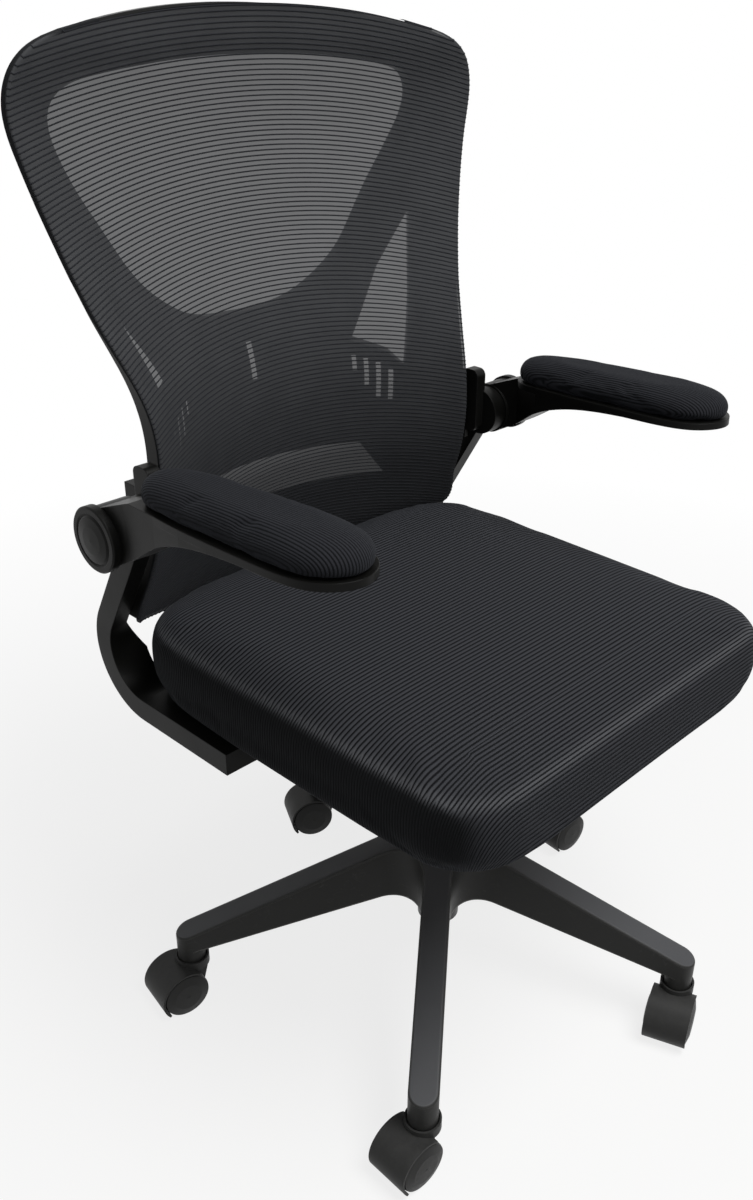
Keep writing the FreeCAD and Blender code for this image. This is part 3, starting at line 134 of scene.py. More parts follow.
# Moulded nylon: smooth, with faint flow marks and dust that dulls the gloss in patches.
caster_nylon = new_material("moulded_caster_nylon")
place = add(caster_nylon, "ShaderNodeTexCoord")
dust = add(caster_nylon, "ShaderNodeTexNoise", inputs={
    "Vector": place.outputs["Object"], "Scale": 1 / 0.012, "Detail": 5.0, "Roughness": 0.7})
speck = add(caster_nylon, "ShaderNodeTexNoise", inputs={
    "Vector": place.outputs["Object"], "Scale": 1 / 0.0012, "Detail": 2.0})
tone = add(caster_nylon, "ShaderNodeMix", {"data_type": "RGBA"}, {
    "Factor": dust.outputs["Fac"], "A": linear("#292929"), "B": linear("#424241")})
dull = add(caster_nylon, "ShaderNodeMapRange", inputs={
    "Value": dust.outputs["Fac"], "From Min": 0.3, "From Max": 0.7, "To Min": 0.42, "To Max": 0.58})
relief = add(caster_nylon, "ShaderNodeBump", inputs={
    "Strength": 0.12, "Distance": 0.0003, "Height": speck.outputs["Fac"]})
shader = add(caster_nylon, "ShaderNodeBsdfPrincipled", inputs={
    "Base Color": tone.outputs["Result"], "Roughness": dull.outputs["Result"], "IOR": 1.5,
    "Specular IOR Level": 0.16, "Normal": relief.outputs["Normal"]})
add(caster_nylon, "ShaderNodeOutputMaterial", inputs={"Surface": shader.outputs["BSDF"]})

# Wheel nylon: a darker, harder grade than the hoods, rubbed dull in fine patches.
wheel_nylon = new_material("rubbed_wheel_nylon")
place = add(wheel_nylon, "ShaderNodeTexCoord")
rub = add(wheel_nylon, "ShaderNodeTexNoise", inputs={
    "Vector": place.outputs["Object"], "Scale": 1 / 0.004, "Detail": 5.0, "Roughness": 0.7})
tone = add(wheel_nylon, "ShaderNodeMix", {"data_type": "RGBA"}, {
    "Factor": rub.outputs["Fac"], "A": linear("#1d1d1d"), "B": linear("#2f2f2e")})
dull = add(wheel_nylon, "ShaderNodeMapRange", inputs={
    "Value": rub.outputs["Fac"], "From Min": 0.3, "From Max": 0.7, "To Min": 0.40, "To Max": 0.56})
relief = add(wheel_nylon, "ShaderNodeBump", inputs={
    "Strength": 0.12, "Distance": 0.0003, "Height": rub.outputs["Fac"]})
shader = add(wheel_nylon, "ShaderNodeBsdfPrincipled", inputs={
    "Base Color": tone.outputs["Result"], "Roughness": dull.outputs["Result"], "IOR": 1.5,
    "Specular IOR Level": 0.2, "Normal": relief.outputs["Normal"]})
add(wheel_nylon, "ShaderNodeOutputMaterial", inputs={"Surface": shader.outputs["BSDF"]})

# Zinc-plated steel: bright, with a faint cloudy passivation that varies its gloss.
plated_steel = new_material("zinc_plated_steel")
place = add(plated_steel, "ShaderNodeTexCoord")
cloud = add(plated_steel, "ShaderNodeTexNoise", inputs={
    "Vector": place.outputs["Object"], "Scale": 1 / 0.006, "Detail": 4.0})
tone = add(plated_steel, "ShaderNodeMix", {"data_type": "RGBA"}, {
    "Factor": cloud.outputs["Fac"], "A": linear("#9a9c9d"), "B": linear("#c4c5c2")})
satin = add(plated_steel, "ShaderNodeMapRange", inputs={
    "Value": cloud.outputs["Fac"], "From Min": 0.3, "From Max": 0.7, "To Min": 0.24, "To Max": 0.38})
shader = add(plated_steel, "ShaderNodeBsdfPrincipled", inputs={
    "Base Color": tone.outputs["Result"], "Metallic": 1.0, "Roughness": satin.outputs["Result"]})
add(plated_steel, "ShaderNodeOutputMaterial", inputs={"Surface": shader.outputs["BSDF"]})

for number in range(1, 6):
    finish_nodes(caster_nylon, f"caster_hood_{number}")
    finish_nodes(wheel_nylon, f"caster_wheels_{number}")
    finish_nodes(plated_steel, f"caster_stem_{number}", f"caster_axle_{number}")

# Gas lift
# A steel column in the base's taper holds a plastic guide bush and a thrust bearing; the pressure tube
# slides in it on a polished rod that a spring clip holds, with the valve pin at its top.

# Powder-coated steel: an even black skin with a slight orange peel about 2 mm across.
coated_steel = new_material("powder_coated_steel")
place = add(coated_steel, "ShaderNodeTexCoord")
peel = add(coated_steel, "ShaderNodeTexNoise", inputs={
    "Vector": place.outputs["Object"], "Scale": 1 / 0.002, "Detail": 1.0})
shade = add(coated_steel, "ShaderNodeTexNoise", inputs={
    "Vector": place.outputs["Object"], "Scale": 1 / 0.05, "Detail": 3.0})
tone = add(coated_steel, "ShaderNodeMix", {"data_type": "RGBA"}, {
    "Factor": shade.outputs["Fac"], "A": linear("#141414"), "B": linear("#202020")})
relief = add(coated_steel, "ShaderNodeBump", inputs={
    "Strength": 0.3, "Distance": 0.0002, "Height": peel.outputs["Fac"]})
shader = add(coated_steel, "ShaderNodeBsdfPrincipled", inputs={
    "Base Color": tone.outputs["Result"], "Roughness": 0.38, "IOR": 1.5,
    "Normal": relief.outputs["Normal"]})
add(coated_steel, "ShaderNodeOutputMaterial", inputs={"Surface": shader.outputs["BSDF"]})
finish_nodes(coated_steel, "column_tube", "pressure_tube")
finish_nodes(caster_nylon, "guide_bush")
finish_nodes(plated_steel, "thrust_bearing", "piston_rod", "rod_clip", "valve_pin")

# Tilt mechanism
# A pressed steel housing under the seat turns on a pivot rod against a coil spring; a moulded knob sets
# the spring, and a straight lever works the valve.
finish_nodes(coated_steel, "tilt_housing", "seat_plate", "height_lever", "spring_seat")
finish_nodes(plated_steel, "tilt_pivot", "pivot_clips", "lever_pin")
finish_nodes(caster_nylon, "tension_knob", "lever_handle")
spring = bpy.data.objects.new("coil_spring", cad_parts["tilt_spring"].data.copy())
bpy.context.collection.objects.link(spring)
spring.data.materials.clear()
spring.data.materials.append(plated_steel)
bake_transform(spring)
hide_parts("tilt_spring")

# Seat pan
# A pressed birch plywood board, seven veneers thick. The cushion's cloth is stapled under it, and
# zinc-plated bolts hold the seat plate and the arm supports to it, and the back to the supports.

# Birch plywood: long pale grain on the faces, and darker glue lines 1.7 mm apart on the edges.
plywood = new_material("pressed_birch_plywood")
place = add(plywood, "ShaderNodeTexCoord")
stretch = add(plywood, "ShaderNodeMapping", inputs={
    "Vector": place.outputs["Object"], "Scale": (1 / 0.09, 1 / 0.004, 1 / 0.004)})
fibre = add(plywood, "ShaderNodeTexNoise", inputs={
    "Vector": stretch.outputs["Vector"], "Scale": 1.0, "Detail": 5.0, "Roughness": 0.6})
layers = add(plywood, "ShaderNodeTexWave", {"bands_direction": "Z"}, {
    "Vector": place.outputs["Object"], "Scale": 0.314 / 0.0017, "Distortion": 0.4})
tone = add(plywood, "ShaderNodeMix", {"data_type": "RGBA"}, {
    "Factor": fibre.outputs["Fac"], "A": linear("#9c7a52"), "B": linear("#c9aa7e")})
glued = add(plywood, "ShaderNodeMix", {"data_type": "RGBA", "blend_type": "MULTIPLY"}, {
    "Factor": 0.3, "A": tone.outputs["Result"], "B": layers.outputs["Color"]})
relief = add(plywood, "ShaderNodeBump", inputs={
    "Strength": 0.2, "Distance": 0.0003, "Height": fibre.outputs["Fac"]})
shader = add(plywood, "ShaderNodeBsdfPrincipled", inputs={
    "Base Color": glued.outputs["Result"], "Roughness": 0.62, "IOR": 1.5,
    "Normal": relief.outputs["Normal"]})
add(plywood, "ShaderNodeOutputMaterial", inputs={"Surface": shader.outputs["BSDF"]})
finish_nodes(plywood, "seat_pan")
finish_nodes(plated_steel, "plate_bolts", "support_bolts", "back_bolts")

# Seat cushion
# Moulded foam under one cloth knitted with round cords, which run across the seat, turn down its
# sides, lie along its front face, and are pulled under the board and stapled there.
RIB_PITCH = 0.00485
SEAT_CORNER = 0.070
SEAT_SWELL = 0.004
STAPLED_EDGE = 0.006
SWELL_PRESSURE = 4.0
SWELL_FRAMES = 20


def lay(piece, name, values):
    """Writes one number for each point of the piece, for its material to read."""
    layer = piece.data.attributes.new(name, "FLOAT", "POINT")
    layer.data.foreach_set("value", values.astype(np.float32))


def swollen(name, node, voxel, inset, cap, held_below):
    """A copy of a soft solid, remeshed and blown up a little by cloth pressure, flat where it rests."""
    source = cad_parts[node]
    piece = bpy.data.objects.new(name, source.data.copy())
    piece.data.materials.clear()
    bpy.context.collection.objects.link(piece)
    low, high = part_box(node)
    middle = (low + high) / 2
    for vertex in piece.data.vertices:
        offset = vertex.co - middle
        for axis in range(3):
            half = (high[axis] - low[axis]) / 2
            if axis < 2 or offset[axis] > 0:
                offset[axis] *= (half - inset) / half
        vertex.co = middle + offset
    remesh = piece.modifiers.new("even_mesh", "REMESH")
    remesh.mode = "VOXEL"
    remesh.voxel_size = voxel
    graph = bpy.context.evaluated_depsgraph_get()
    even = bpy.data.meshes.new_from_object(piece.evaluated_get(graph))
    piece.modifiers.clear()
    piece.data = even
    start = np.array([vertex.co for vertex in even.vertices])
    facing = np.array([vertex.normal for vertex in even.vertices])
    # Weight for the sides facing left and right, which get finer cords and painted shade.
    lay(piece, "flank", np.clip((np.abs(facing[:, 0]) - 0.55) / 0.25, 0, 1))
    # Weight for a painted highlight along the rolled edges, where the surface faces about 42 degrees up.
    lay(piece, "painted_edge_highlight", np.exp(-((facing[:, 2] - 0.74) / 0.13) ** 2))
    held = piece.vertex_groups.new(name="held")
    held.add([int(i) for i in np.nonzero(start[:, 2] < held_below)[0]], 1.0, "REPLACE")
    cloth = piece.modifiers.new("swell", "CLOTH")
    cloth.settings.use_pressure = True
    cloth.settings.uniform_pressure_force = SWELL_PRESSURE
    cloth.settings.effector_weights.gravity = 0.0
    cloth.settings.vertex_group_mass = "held"
    cloth.settings.quality = 5
    cloth.point_cache.frame_end = SWELL_FRAMES
    for step in range(1, SWELL_FRAMES + 1):
        bpy.context.scene.frame_set(step)
    graph = bpy.context.evaluated_depsgraph_get()
    blown = piece.evaluated_get(graph).data
    move = np.array([vertex.co for vertex in blown.vertices]) - start
    reach = np.maximum(np.linalg.norm(move, axis=1, keepdims=True), 1e-9)
    start = start + move * np.minimum(1.0, cap / reach)
    piece.modifiers.clear()
    piece.vertex_groups.clear()
    bpy.context.scene.frame_set(1)
    even.vertices.foreach_set("co", start.astype(np.float32).ravel())
    even.update()
    smooth = piece.modifiers.new("soft", "SUBSURF")
    smooth.levels = 1
    smooth.render_levels = 1
    graph = bpy.context.evaluated_depsgraph_get()
    fine = bpy.data.meshes.new_from_object(piece.evaluated_get(graph))
    piece.modifiers.clear()
    piece.data = fine
    fine.polygons.foreach_set("use_smooth", [True] * len(fine.polygons))
    return piece


low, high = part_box("seat_cushion")
cushion = swollen("cushion", "seat_cushion", voxel=0.0053, inset=0.003, cap=SEAT_SWELL,
                  held_below=low.z + STAPLED_EDGE)
points = np.array([vertex.co for vertex in cushion.data.vertices])
drop = high.z - points[:, 2]
corner_x = high.x - SEAT_CORNER
out_x = np.maximum(np.abs(points[:, 0]) - corner_x, 0)
out_front = np.maximum((low.y + SEAT_CORNER) - points[:, 1], 0)
out_back = np.maximum(points[:, 1] - (high.y - SEAT_CORNER), 0)
turn_front = np.where(out_front > 0, out_front**2 / (out_front**2 + out_x**2 + 1e-9), 0)
turn_back = np.where(out_back > 0, out_back**2 / (out_back**2 + out_x**2 + 1e-9), 0)
lay(cushion, "rib", points[:, 1] - turn_front * drop + turn_back * drop)


# Corded polyester cloth: round cords, with painted light on their crowns and painted shade in the valleys,
# over a fine knit about 1 mm across that is drawn a little coarser than it is. The flanks have finer cords
# and painted shade, and a painted highlight lies on the cords along the rolled edge.
def corded_cloth(name, pitch, valley, crest):
    cloth = new_material(name)
    place = add(cloth, "ShaderNodeTexCoord")
    rib = add(cloth, "ShaderNodeAttribute", {"attribute_name": "rib"})
    flank = add(cloth, "ShaderNodeAttribute", {"attribute_name": "flank"})
    painted_edge_highlight = add(cloth, "ShaderNodeAttribute", {"attribute_name": "painted_edge_highlight"})
    phase = add(cloth, "ShaderNodeMath", {"operation": "MULTIPLY"}, {
        0: rib.outputs["Fac"], 1: 2 * math.pi / pitch})
    wave = add(cloth, "ShaderNodeMath", {"operation": "COSINE"}, {0: phase.outputs["Value"]})
    closer = add(cloth, "ShaderNodeMath", {"operation": "MULTIPLY"}, {0: phase.outputs["Value"], 1: 1.5})
    fine_wave = add(cloth, "ShaderNodeMath", {"operation": "COSINE"}, {0: closer.outputs["Value"]})
    cords = add(cloth, "ShaderNodeMix", {"data_type": "FLOAT"}, {
        "Factor": flank.outputs["Fac"], "A": wave.outputs["Value"], "B": fine_wave.outputs["Value"]})
    crown = add(cloth, "ShaderNodeMapRange", {"interpolation_type": "SMOOTHSTEP"}, {
        "Value": cords.outputs["Result"], "From Min": -1.0, "From Max": 0.55})
    knit = add(cloth, "ShaderNodeTexNoise", inputs={
        "Vector": place.outputs["Object"], "Scale": 1 / 0.0011, "Detail": 2.0, "Roughness": 0.6})
    rise = add(cloth, "ShaderNodeMath", {"operation": "MULTIPLY_ADD"}, {
        0: knit.outputs["Fac"], 1: 0.35, 2: crown.outputs["Result"]})
    # Painted light on the cord crowns and painted shade in the valleys between them.
    tone = add(cloth, "ShaderNodeMix", {"data_type": "RGBA"}, {
        "Factor": crown.outputs["Result"], "A": linear(valley), "B": linear(crest)})
    # Painted shade darkens the sides, on top of the same crown and valley painting.
    shaded_sides = add(cloth, "ShaderNodeMix", {"data_type": "RGBA"}, {
        "Factor": crown.outputs["Result"], "A": linear("#040405"), "B": linear("#151617")})
    top_and_shaded_sides = add(cloth, "ShaderNodeMix", {"data_type": "RGBA"}, {
        "Factor": flank.outputs["Fac"], "A": tone.outputs["Result"], "B": shaded_sides.outputs["Result"]})
    # Painted highlight on the cord crowns along the rolled edges.
    painted_highlight = add(cloth, "ShaderNodeMath", {"operation": "MULTIPLY"}, {
        0: painted_edge_highlight.outputs["Fac"], 1: crown.outputs["Result"]})
    highlighted = add(cloth, "ShaderNodeMix", {"data_type": "RGBA"}, {
        "Factor": painted_highlight.outputs["Value"], "A": top_and_shaded_sides.outputs["Result"], "B": linear("#56575a")})
    relief = add(cloth, "ShaderNodeBump", inputs={
        "Strength": 0.8, "Distance": pitch / 6, "Height": rise.outputs["Value"]})
    shader = add(cloth, "ShaderNodeBsdfPrincipled", inputs={
        "Base Color": highlighted.outputs["Result"], "Roughness": 0.85, "IOR": 1.5, "Specular IOR Level": 0.08,
        "Sheen Weight": 0.06, "Sheen Roughness": 0.5, "Sheen Tint": linear("#9aa0aa"),
        "Normal": relief.outputs["Normal"]})
    add(cloth, "ShaderNodeOutputMaterial", inputs={"Surface": shader.outputs["BSDF"]})
    return cloth


cushion.data.materials.append(corded_cloth("knitted_corded_cloth", RIB_PITCH, "#0d0e10", "#3d3e42"))
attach(cushion, "seat")
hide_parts("seat_cushion")

# Arm supports and armrests
# Nylon mouldings: a curved support bolted under the seat and to the back, and an arm that swings up
# on a steel shaft behind a pressed-in cap. They are finer textured than the base.

# Moulded nylon with a fine matt texture: an even satin black with soft highlights along the edges.
arm_nylon = new_material("matt_moulded_nylon")
place = add(arm_nylon, "ShaderNodeTexCoord")
grain = add(arm_nylon, "ShaderNodeTexNoise", inputs={
    "Vector": place.outputs["Object"], "Scale": 1 / 0.0011, "Detail": 2.0, "Roughness": 0.6})
handled = add(arm_nylon, "ShaderNodeTexNoise", inputs={
    "Vector": place.outputs["Object"], "Scale": 1 / 0.06, "Detail": 4.0, "Roughness": 0.6})
tone = add(arm_nylon, "ShaderNodeMix", {"data_type": "RGBA"}, {
    "Factor": handled.outputs["Fac"], "A": linear("#0c0c0b"), "B": linear("#131312")})
satin = add(arm_nylon, "ShaderNodeMapRange", inputs={
    "Value": handled.outputs["Fac"], "From Min": 0.3, "From Max": 0.7, "To Min": 0.30, "To Max": 0.42})
edge = add(arm_nylon, "ShaderNodeBevel", {"samples": 6}, {"Radius": 0.0014})
relief = add(arm_nylon, "ShaderNodeBump", inputs={
    "Strength": 0.15, "Distance": 0.0003, "Height": grain.outputs["Fac"], "Normal": edge.outputs["Normal"]})
shader = add(arm_nylon, "ShaderNodeBsdfPrincipled", inputs={
    "Base Color": tone.outputs["Result"], "Roughness": satin.outputs["Result"], "IOR": 1.5,
    "Specular IOR Level": 0.09, "Normal": relief.outputs["Normal"]})
add(arm_nylon, "ShaderNodeOutputMaterial", inputs={"Surface": shader.outputs["BSDF"]})

# Arm pads: foam under a finer corded cloth, with its cords 2.6 mm apart along the arm and over its end.
PAD_RIB_PITCH = 0.0026
PAD_CROWN_DEPTH = 0.008
pad_cloth = corded_cloth("fine_corded_cloth", PAD_RIB_PITCH, "#0e0f11", "#2b2c30")
for side in ("left", "right"):
    finish_nodes(arm_nylon, f"arm_support_{side}", f"arm_{side}", f"arm_cap_{side}")
    finish_nodes(plated_steel, f"arm_shaft_{side}", f"pad_screws_{side}")
    pad = swollen(f"pad_{side}", f"arm_pad_{side}", voxel=0.003, inset=0.0015, cap=0.003, held_below=-1.0)
    low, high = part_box(f"arm_pad_{side}")
    points = np.array([vertex.co for vertex in pad.data.vertices])
    middle = (low + high) / 2
    half_width = (high.x - low.x) / 2
    lean = (points[:, 0] - middle.x) / half_width
    end = np.clip((np.abs(points[:, 1] - middle.y) - (high.y - low.y) / 2 + half_width) / half_width, 0, 1)
    top = pad.data.vertices[int(np.argmax(points[:, 2]))].co.z
    fall = np.maximum(top - PAD_CROWN_DEPTH - points[:, 2], 0)
    for name in ("flank", "painted_edge_highlight"):
        pad.data.attributes.remove(pad.data.attributes[name])
    lay(pad, "rib", points[:, 0] + np.sign(lean) * np.abs(lean) ** 3 * (1 - end**2) * fall)
    pad.data.materials.append(pad_cloth)
    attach(pad, f"armrest_{side}")
    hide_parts(f"arm_pad_{side}")

# Back frame
# One bowed nylon moulding with a shield window, two triangle windows, slits and a low window. Its lugs
# are bolted to the arm supports.
finish_nodes(arm_nylon, "back_frame")

# Back mesh
# A sheer knitted cloth with round cords 4.6 mm apart, stretched over the frame: it rolls over the rim
# along the top and upper sides, and is tucked into a groove lower down.
CORD_PITCH = 0.0046
CORD_WIDTH = 0.00068
CORD_HEIGHT = 0.00035
COURSES_PER_CORD = 3
ROLL = 0.0022
COLUMNS = 72

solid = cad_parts["back_mesh"].data
cloth_tree = BVHTree.FromPolygons([v.co for v in solid.vertices], [list(p.vertices) for p in solid.polygons])
low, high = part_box("back_mesh")


def on_cloth(x, z):
    spot = cloth_tree.ray_cast(Vector((x, low.y - 0.2, z)), Vector((0, 1, 0)))[0]
    return None if spot is None else spot.y


def arched(crest, x):
    """Height at x of the course whose middle is at crest; the courses flatten towards the top."""
    return crest - float(np.interp(crest, (0.80, 1.01), (0.60, 0.40))) * x * x


def edge_of_row(crest):
    inside, outside = 0.0, high.x + 0.02
    for halving in range(22):
        x = (inside + outside) / 2
        if on_cloth(x, arched(crest, x)) is None:
            outside = x
        else:
            inside = x
    return inside


rows = []
crests = np.arange(low.z + 0.0012, high.z - 0.0008, CORD_PITCH / COURSES_PER_CORD)
edges = [edge_of_row(crest) for crest in crests]
rim = [Vector((x, 0, arched(crest, x))) for x, crest in zip(edges, crests)]
outward = []
for index in range(len(rim)):
    along = rim[min(index + 2, len(rim) - 1)] - rim[max(index - 2, 0)]
    outward.append(Vector((along.z, 0, -along.x)).normalized())


def rolled_end(index):
    """The end of a course, round the rim and a little way back behind it."""
    wrap = float(np.interp(rim[index].z, (0.70, 0.80), (0.0015, 0.0060)))
    middle = rim[index] - outward[index] * ROLL
    depth = on_cloth(middle.x, middle.z)
    if depth is None:
        depth = on_cloth(middle.x * 0.98, middle.z)
    bend = []
    for turn in (0, 22.5, 45, 67.5, 90):
        angle = math.radians(turn)
        out = middle + outward[index] * ROLL * math.sin(angle)
        bend.append(Vector((out.x, depth + ROLL * (1 - math.cos(angle)), out.z)))
    bend.append(bend[-1] + Vector((0, wrap, 0)))
    return bend


for index, crest in enumerate(crests):
    bend = rolled_end(index)
    reach = bend[0].x
    half = []
    for step in range(COLUMNS // 2):
        x = reach * step / (COLUMNS // 2)
        z = arched(crest, x)
        fit = (bend[0].z - arched(crest, reach)) * (step / (COLUMNS // 2)) ** 4
        half.append(Vector((x, on_cloth(x, z + fit), z + fit)))
    half += bend
    mirror = [Vector((-point.x, point.y, point.z)) for point in half[:0:-1]]
    rows.append(mirror + half)

width = len(rows[0])
verts = [tuple(point) for row in rows for point in row]
faces = []
for index in range(len(rows) - 1):
    for column in range(width - 1):
        corner = index * width + column
        faces.append((corner, corner + 1, corner + width + 1, corner + width))
sheet_mesh = bpy.data.meshes.new("back_cloth")
sheet_mesh.from_pydata(verts, [], faces)
sheet_mesh.update()
sheet_mesh.polygons.foreach_set("use_smooth", [True] * len(sheet_mesh.polygons))
back_cloth = bpy.data.objects.new("back_cloth", sheet_mesh)
bpy.context.collection.objects.link(back_cloth)
hem_row = np.zeros(width)
hem_row[[0, 1, -2, -1]] = 1.0
hem_row[[2, -3]] = 0.6
hem = np.tile(hem_row, (len(rows), 1))
hem[-2:] = 1.0
lay(back_cloth, "hem", hem.ravel())

# Cords: one tube on the sitter's side of the cloth along every third course, ending on the roll.
SIDES = 6
tube_verts = []
tube_faces = []
for index in range(1, len(rows) - 1, COURSES_PER_CORD):
    path = rows[index][2:-2]
    first = len(tube_verts)
    for step, point in enumerate(path):
        along = (path[min(step + 1, len(path) - 1)] - path[max(step - 1, 0)]).normalized()
        above = (rows[index + 1][step + 2] - rows[index - 1][step + 2]).normalized()
        face = along.cross(above)
        if face.length < 1e-6:
            face = Vector((0, -1, 0))
        face.normalize()
        if face.y > 0 and 4 < step < len(path) - 5:
            face.negate()
        across = face.cross(along).normalized()
        for side in range(SIDES):
            angle = 2 * math.pi * side / SIDES
            tube_verts.append(tuple(point + across * CORD_WIDTH * math.cos(angle)
                                    + face * CORD_HEIGHT * (math.sin(angle) + 0.35)))
    for step in range(len(path) - 1):
        for side in range(SIDES):
            turn = (side + 1) % SIDES
            ring = first + step * SIDES
            tube_faces.append((ring + side, ring + turn, ring + SIDES + turn, ring + SIDES + side))
cord_mesh = bpy.data.meshes.new("back_cords")
cord_mesh.from_pydata(tube_verts, [], tube_faces)
cord_mesh.update()
cord_mesh.polygons.foreach_set("use_smooth", [True] * len(cord_mesh.polygons))
back_cords = bpy.data.objects.new("back_cords", cord_mesh)
bpy.context.collection.objects.link(back_cords)

# Knitted polyester mesh: a dark veil whose open stitches let a tenth of the light behind it through and
# which lets less through and is darker towards the bottom, with a stitch about 1.2 mm across and an opaque
# hem.
veil = new_material("knitted_polyester_mesh")
place = add(veil, "ShaderNodeTexCoord")
stitch = add(veil, "ShaderNodeTexNoise", inputs={
    "Vector": place.outputs["Object"], "Scale": 1 / 0.0012, "Detail": 2.0})
shade = add(veil, "ShaderNodeTexNoise", inputs={
    "Vector": place.outputs["Object"], "Scale": 1 / 0.03, "Detail": 3.0})
tone = add(veil, "ShaderNodeMix", {"data_type": "RGBA"}, {
    "Factor": shade.outputs["Fac"], "A": linear("#404143"), "B": linear("#4d4e50")})
height = add(veil, "ShaderNodeSeparateXYZ", inputs={"Vector": place.outputs["Object"]})
opaquer_low_down = add(veil, "ShaderNodeMapRange", inputs={
    "Value": height.outputs["Z"], "From Min": 0.56, "From Max": 0.66, "To Min": 0.972, "To Max": 0.895})
darker_low_down = add(veil, "ShaderNodeMapRange", inputs={
    "Value": height.outputs["Z"], "From Min": 0.50, "From Max": 0.80, "To Min": 0.45, "To Max": 0.0})
darkened_low_down = add(veil, "ShaderNodeMix", {"data_type": "RGBA"}, {
    "Factor": darker_low_down.outputs["Result"], "A": tone.outputs["Result"], "B": linear("#151618")})
hem = add(veil, "ShaderNodeAttribute", {"attribute_name": "hem"})
hemmed = add(veil, "ShaderNodeMix", {"data_type": "RGBA"}, {
    "Factor": hem.outputs["Fac"], "A": darkened_low_down.outputs["Result"], "B": linear("#17181a")})
cover = add(veil, "ShaderNodeMath", {"operation": "MAXIMUM"}, {
    0: opaquer_low_down.outputs["Result"], 1: hem.outputs["Fac"]})
relief = add(veil, "ShaderNodeBump", inputs={
    "Strength": 0.5, "Distance": 0.0004, "Height": stitch.outputs["Fac"]})
shader = add(veil, "ShaderNodeBsdfPrincipled", inputs={
    "Base Color": hemmed.outputs["Result"], "Roughness": 0.85, "IOR": 1.5, "Specular IOR Level": 0.1,
    "Alpha": cover.outputs["Value"], "Normal": relief.outputs["Normal"]})
add(veil, "ShaderNodeOutputMaterial", inputs={"Surface": shader.outputs["BSDF"]})

# Twisted polyester cord: blue-black and darker than the veil, so each course reads as a thin line.
twist = new_material("twisted_polyester_cord")
place = add(twist, "ShaderNodeTexCoord")
strand = add(twist, "ShaderNodeTexNoise", inputs={
    "Vector": place.outputs["Object"], "Scale": 1 / 0.0015, "Detail": 2.0})
tone = add(twist, "ShaderNodeMix", {"data_type": "RGBA"}, {
    "Factor": strand.outputs["Fac"], "A": linear("#1f2023"), "B": linear("#2b2c30")})
relief = add(twist, "ShaderNodeBump", inputs={
    "Strength": 0.4, "Distance": 0.0004, "Height": strand.outputs["Fac"]})
shader = add(twist, "ShaderNodeBsdfPrincipled", inputs={
    "Base Color": tone.outputs["Result"], "Roughness": 0.8, "IOR": 1.5, "Specular IOR Level": 0.12,
    "Sheen Weight": 0.1, "Sheen Roughness": 0.5, "Sheen Tint": linear("#9aa0aa"),
    "Normal": relief.outputs["Normal"]})
add(twist, "ShaderNodeOutputMaterial", inputs={"Surface": shader.outputs["BSDF"]})
back_cloth.data.materials.append(veil)
back_cords.data.materials.append(twist)
for piece in (back_cloth, back_cords):
    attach(piece, "seat")
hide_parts("back_mesh")

# Floor and light
# A plain white floor under a white surround, one large soft light from above in front, and a weaker one
# from the sitter's right front.
floor_mesh = bpy.data.meshes.new("floor")
floor_mesh.from_pydata([(-30, -30, 0), (30, -30, 0), (30, 30, 0), (-30, 30, 0)], [], [(0, 1, 2, 3)])
floor = bpy.data.objects.new("floor", floor_mesh)
bpy.context.collection.objects.link(floor)
paper = new_material("white_studio_paper")
place = add(paper, "ShaderNodeTexCoord")
seen = add(paper, "ShaderNodeLightPath")
direct = add(paper, "ShaderNodeMath", {"operation": "MAXIMUM"}, {
    0: seen.outputs["Is Camera Ray"], 1: seen.outputs["Is Glossy Ray"]})
either = add(paper, "ShaderNodeMath", {"operation": "MAXIMUM"}, {
    0: direct.outputs["Value"], 1: seen.outputs["Is Transmission Ray"]})
spread = add(paper, "ShaderNodeVectorMath", {"operation": "LENGTH"}, {0: place.outputs["Object"]})
fade = add(paper, "ShaderNodeMapRange", inputs={
    "Value": spread.outputs["Value"], "From Min": 0.4, "From Max": 1.6, "To Min": 0.8, "To Max": 1.0})
share = add(paper, "ShaderNodeMath", {"operation": "MULTIPLY"}, {
    0: either.outputs["Value"], 1: fade.outputs["Result"]})
tone = add(paper, "ShaderNodeMix", {"data_type": "RGBA"}, {
    "Factor": either.outputs["Value"], "A": linear("#6e6e6c"), "B": linear("#fafaf8")})
matt = add(paper, "ShaderNodeBsdfDiffuse", inputs={"Color": tone.outputs["Result"]})
glow = add(paper, "ShaderNodeEmission", inputs={"Color": linear("#ffffff"), "Strength": 1.0})
blend = add(paper, "ShaderNodeMixShader", inputs={
    "Fac": share.outputs["Value"], 1: matt.outputs["BSDF"], 2: glow.outputs["Emission"]})
add(paper, "ShaderNodeOutputMaterial", inputs={"Surface": blend.outputs["Shader"]})
floor.data.materials.append(paper)

surround = bpy.data.worlds.new("surround")
bpy.context.scene.world = surround
surround.use_nodes = True
surround.node_tree.nodes.clear()
seen = add(surround, "ShaderNodeLightPath")
direct = add(surround, "ShaderNodeMath", {"operation": "MAXIMUM"}, {
    0: seen.outputs["Is Camera Ray"], 1: seen.outputs["Is Glossy Ray"]})
either = add(surround, "ShaderNodeMath", {"operation": "MAXIMUM"}, {
    0: direct.outputs["Value"], 1: seen.outputs["Is Transmission Ray"]})
level = add(surround, "ShaderNodeMapRange", inputs={
    "Value": either.outputs["Value"], "To Min": 0.10, "To Max": 1.0})
sky = add(surround, "ShaderNodeBackground", inputs={
    "Color": linear("#ffffff"), "Strength": level.outputs["Result"]})
add(surround, "ShaderNodeOutputWorld", inputs={"Surface": sky.outputs["Background"]})

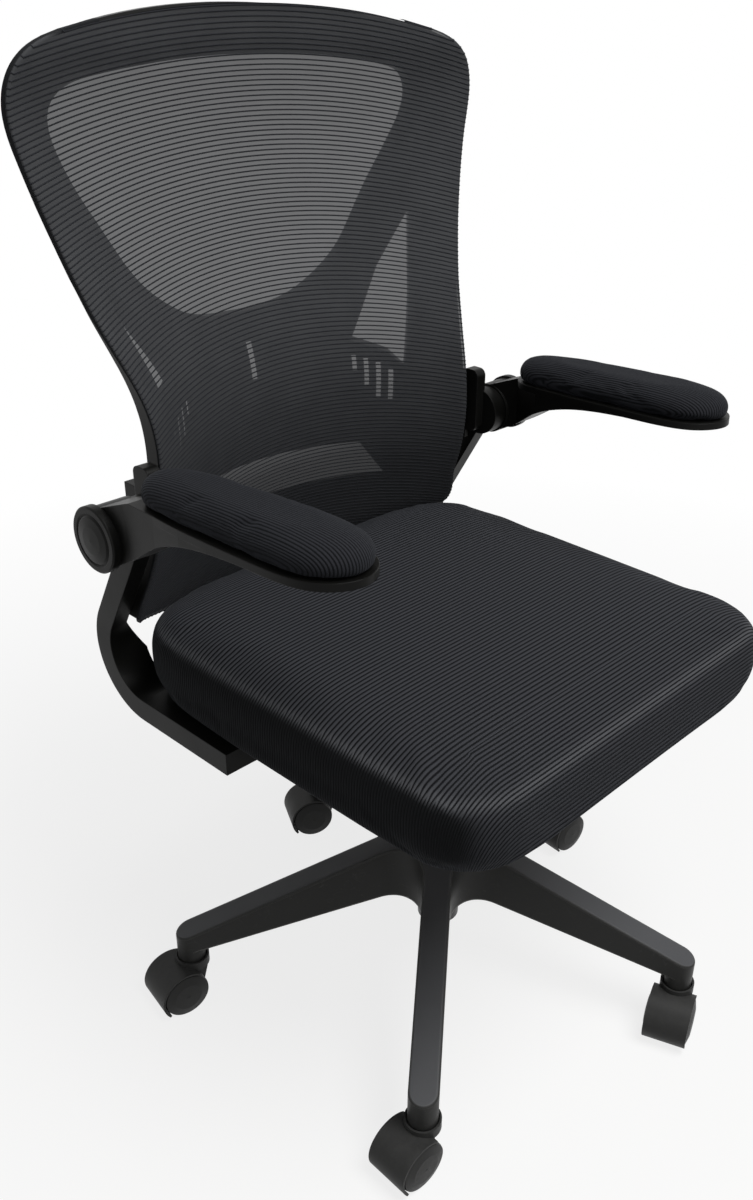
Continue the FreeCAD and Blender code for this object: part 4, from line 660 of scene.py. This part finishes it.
AIM = Vector((0, 0, 0.5))
for name, hung_at, power, size in (
        ("key_light", Vector((0.1, -1.0, 2.5)), 46.0, 1.5),
        ("fill_light", Vector((-1.3, -2.0, 1.5)), 10.0, 1.2)):
    lamp = bpy.data.lights.new(name, "AREA")
    lamp.shape = "DISK"
    lamp.size = size
    lamp.energy = power
    holder = bpy.data.objects.new(name, lamp)
    bpy.context.collection.objects.link(holder)
    holder.location = hung_at
    holder.rotation_euler = (AIM - hung_at).to_track_quat("-Z", "Y").to_euler()

# Camera
# Above the sitter's right front corner, looking down at the chair with a slight roll. The angles and
# lengths were fitted to the photograph, and the shift keeps its framing.
AZIMUTH = -48.963
ELEVATION = 29.218
ROLL_ANGLE = 2.2347
DISTANCE = 1.20533
TARGET = Vector((0.0, 0.00006, 0.45007))
FOCAL_PIXELS = 1164.57
CENTRE_X = 448.74
CENTRE_Y = 628.46
IMAGE_WIDTH = 753
IMAGE_HEIGHT = 1200
turn = math.radians(AZIMUTH)
rise = math.radians(ELEVATION)
tilt = math.radians(ROLL_ANGLE)
away = Vector((math.sin(turn) * math.cos(rise), -math.cos(turn) * math.cos(rise), math.sin(rise)))
right = (-away).cross(Vector((0, 0, 1))).normalized()
up = right.cross(-away)
image_x = math.cos(tilt) * right + math.sin(tilt) * up
image_y = -math.sin(tilt) * right + math.cos(tilt) * up
lens = bpy.data.cameras.new("photo_camera")
camera = bpy.data.objects.new("photo_camera", lens)
bpy.context.collection.objects.link(camera)
stand = TARGET + away * DISTANCE
camera.matrix_world = Matrix((
    (image_x.x, image_y.x, away.x, stand.x),
    (image_x.y, image_y.y, away.y, stand.y),
    (image_x.z, image_y.z, away.z, stand.z),
    (0, 0, 0, 1)))
lens.sensor_fit = "VERTICAL"
lens.sensor_height = 36.0
lens.lens = FOCAL_PIXELS / IMAGE_HEIGHT * lens.sensor_height
lens.shift_x = -(CENTRE_X - IMAGE_WIDTH / 2) / IMAGE_HEIGHT
lens.shift_y = (CENTRE_Y - IMAGE_HEIGHT / 2) / IMAGE_HEIGHT
lens.clip_end = 200.0
bpy.context.scene.camera = camera
bpy.context.scene.view_settings.view_transform = "Standard"
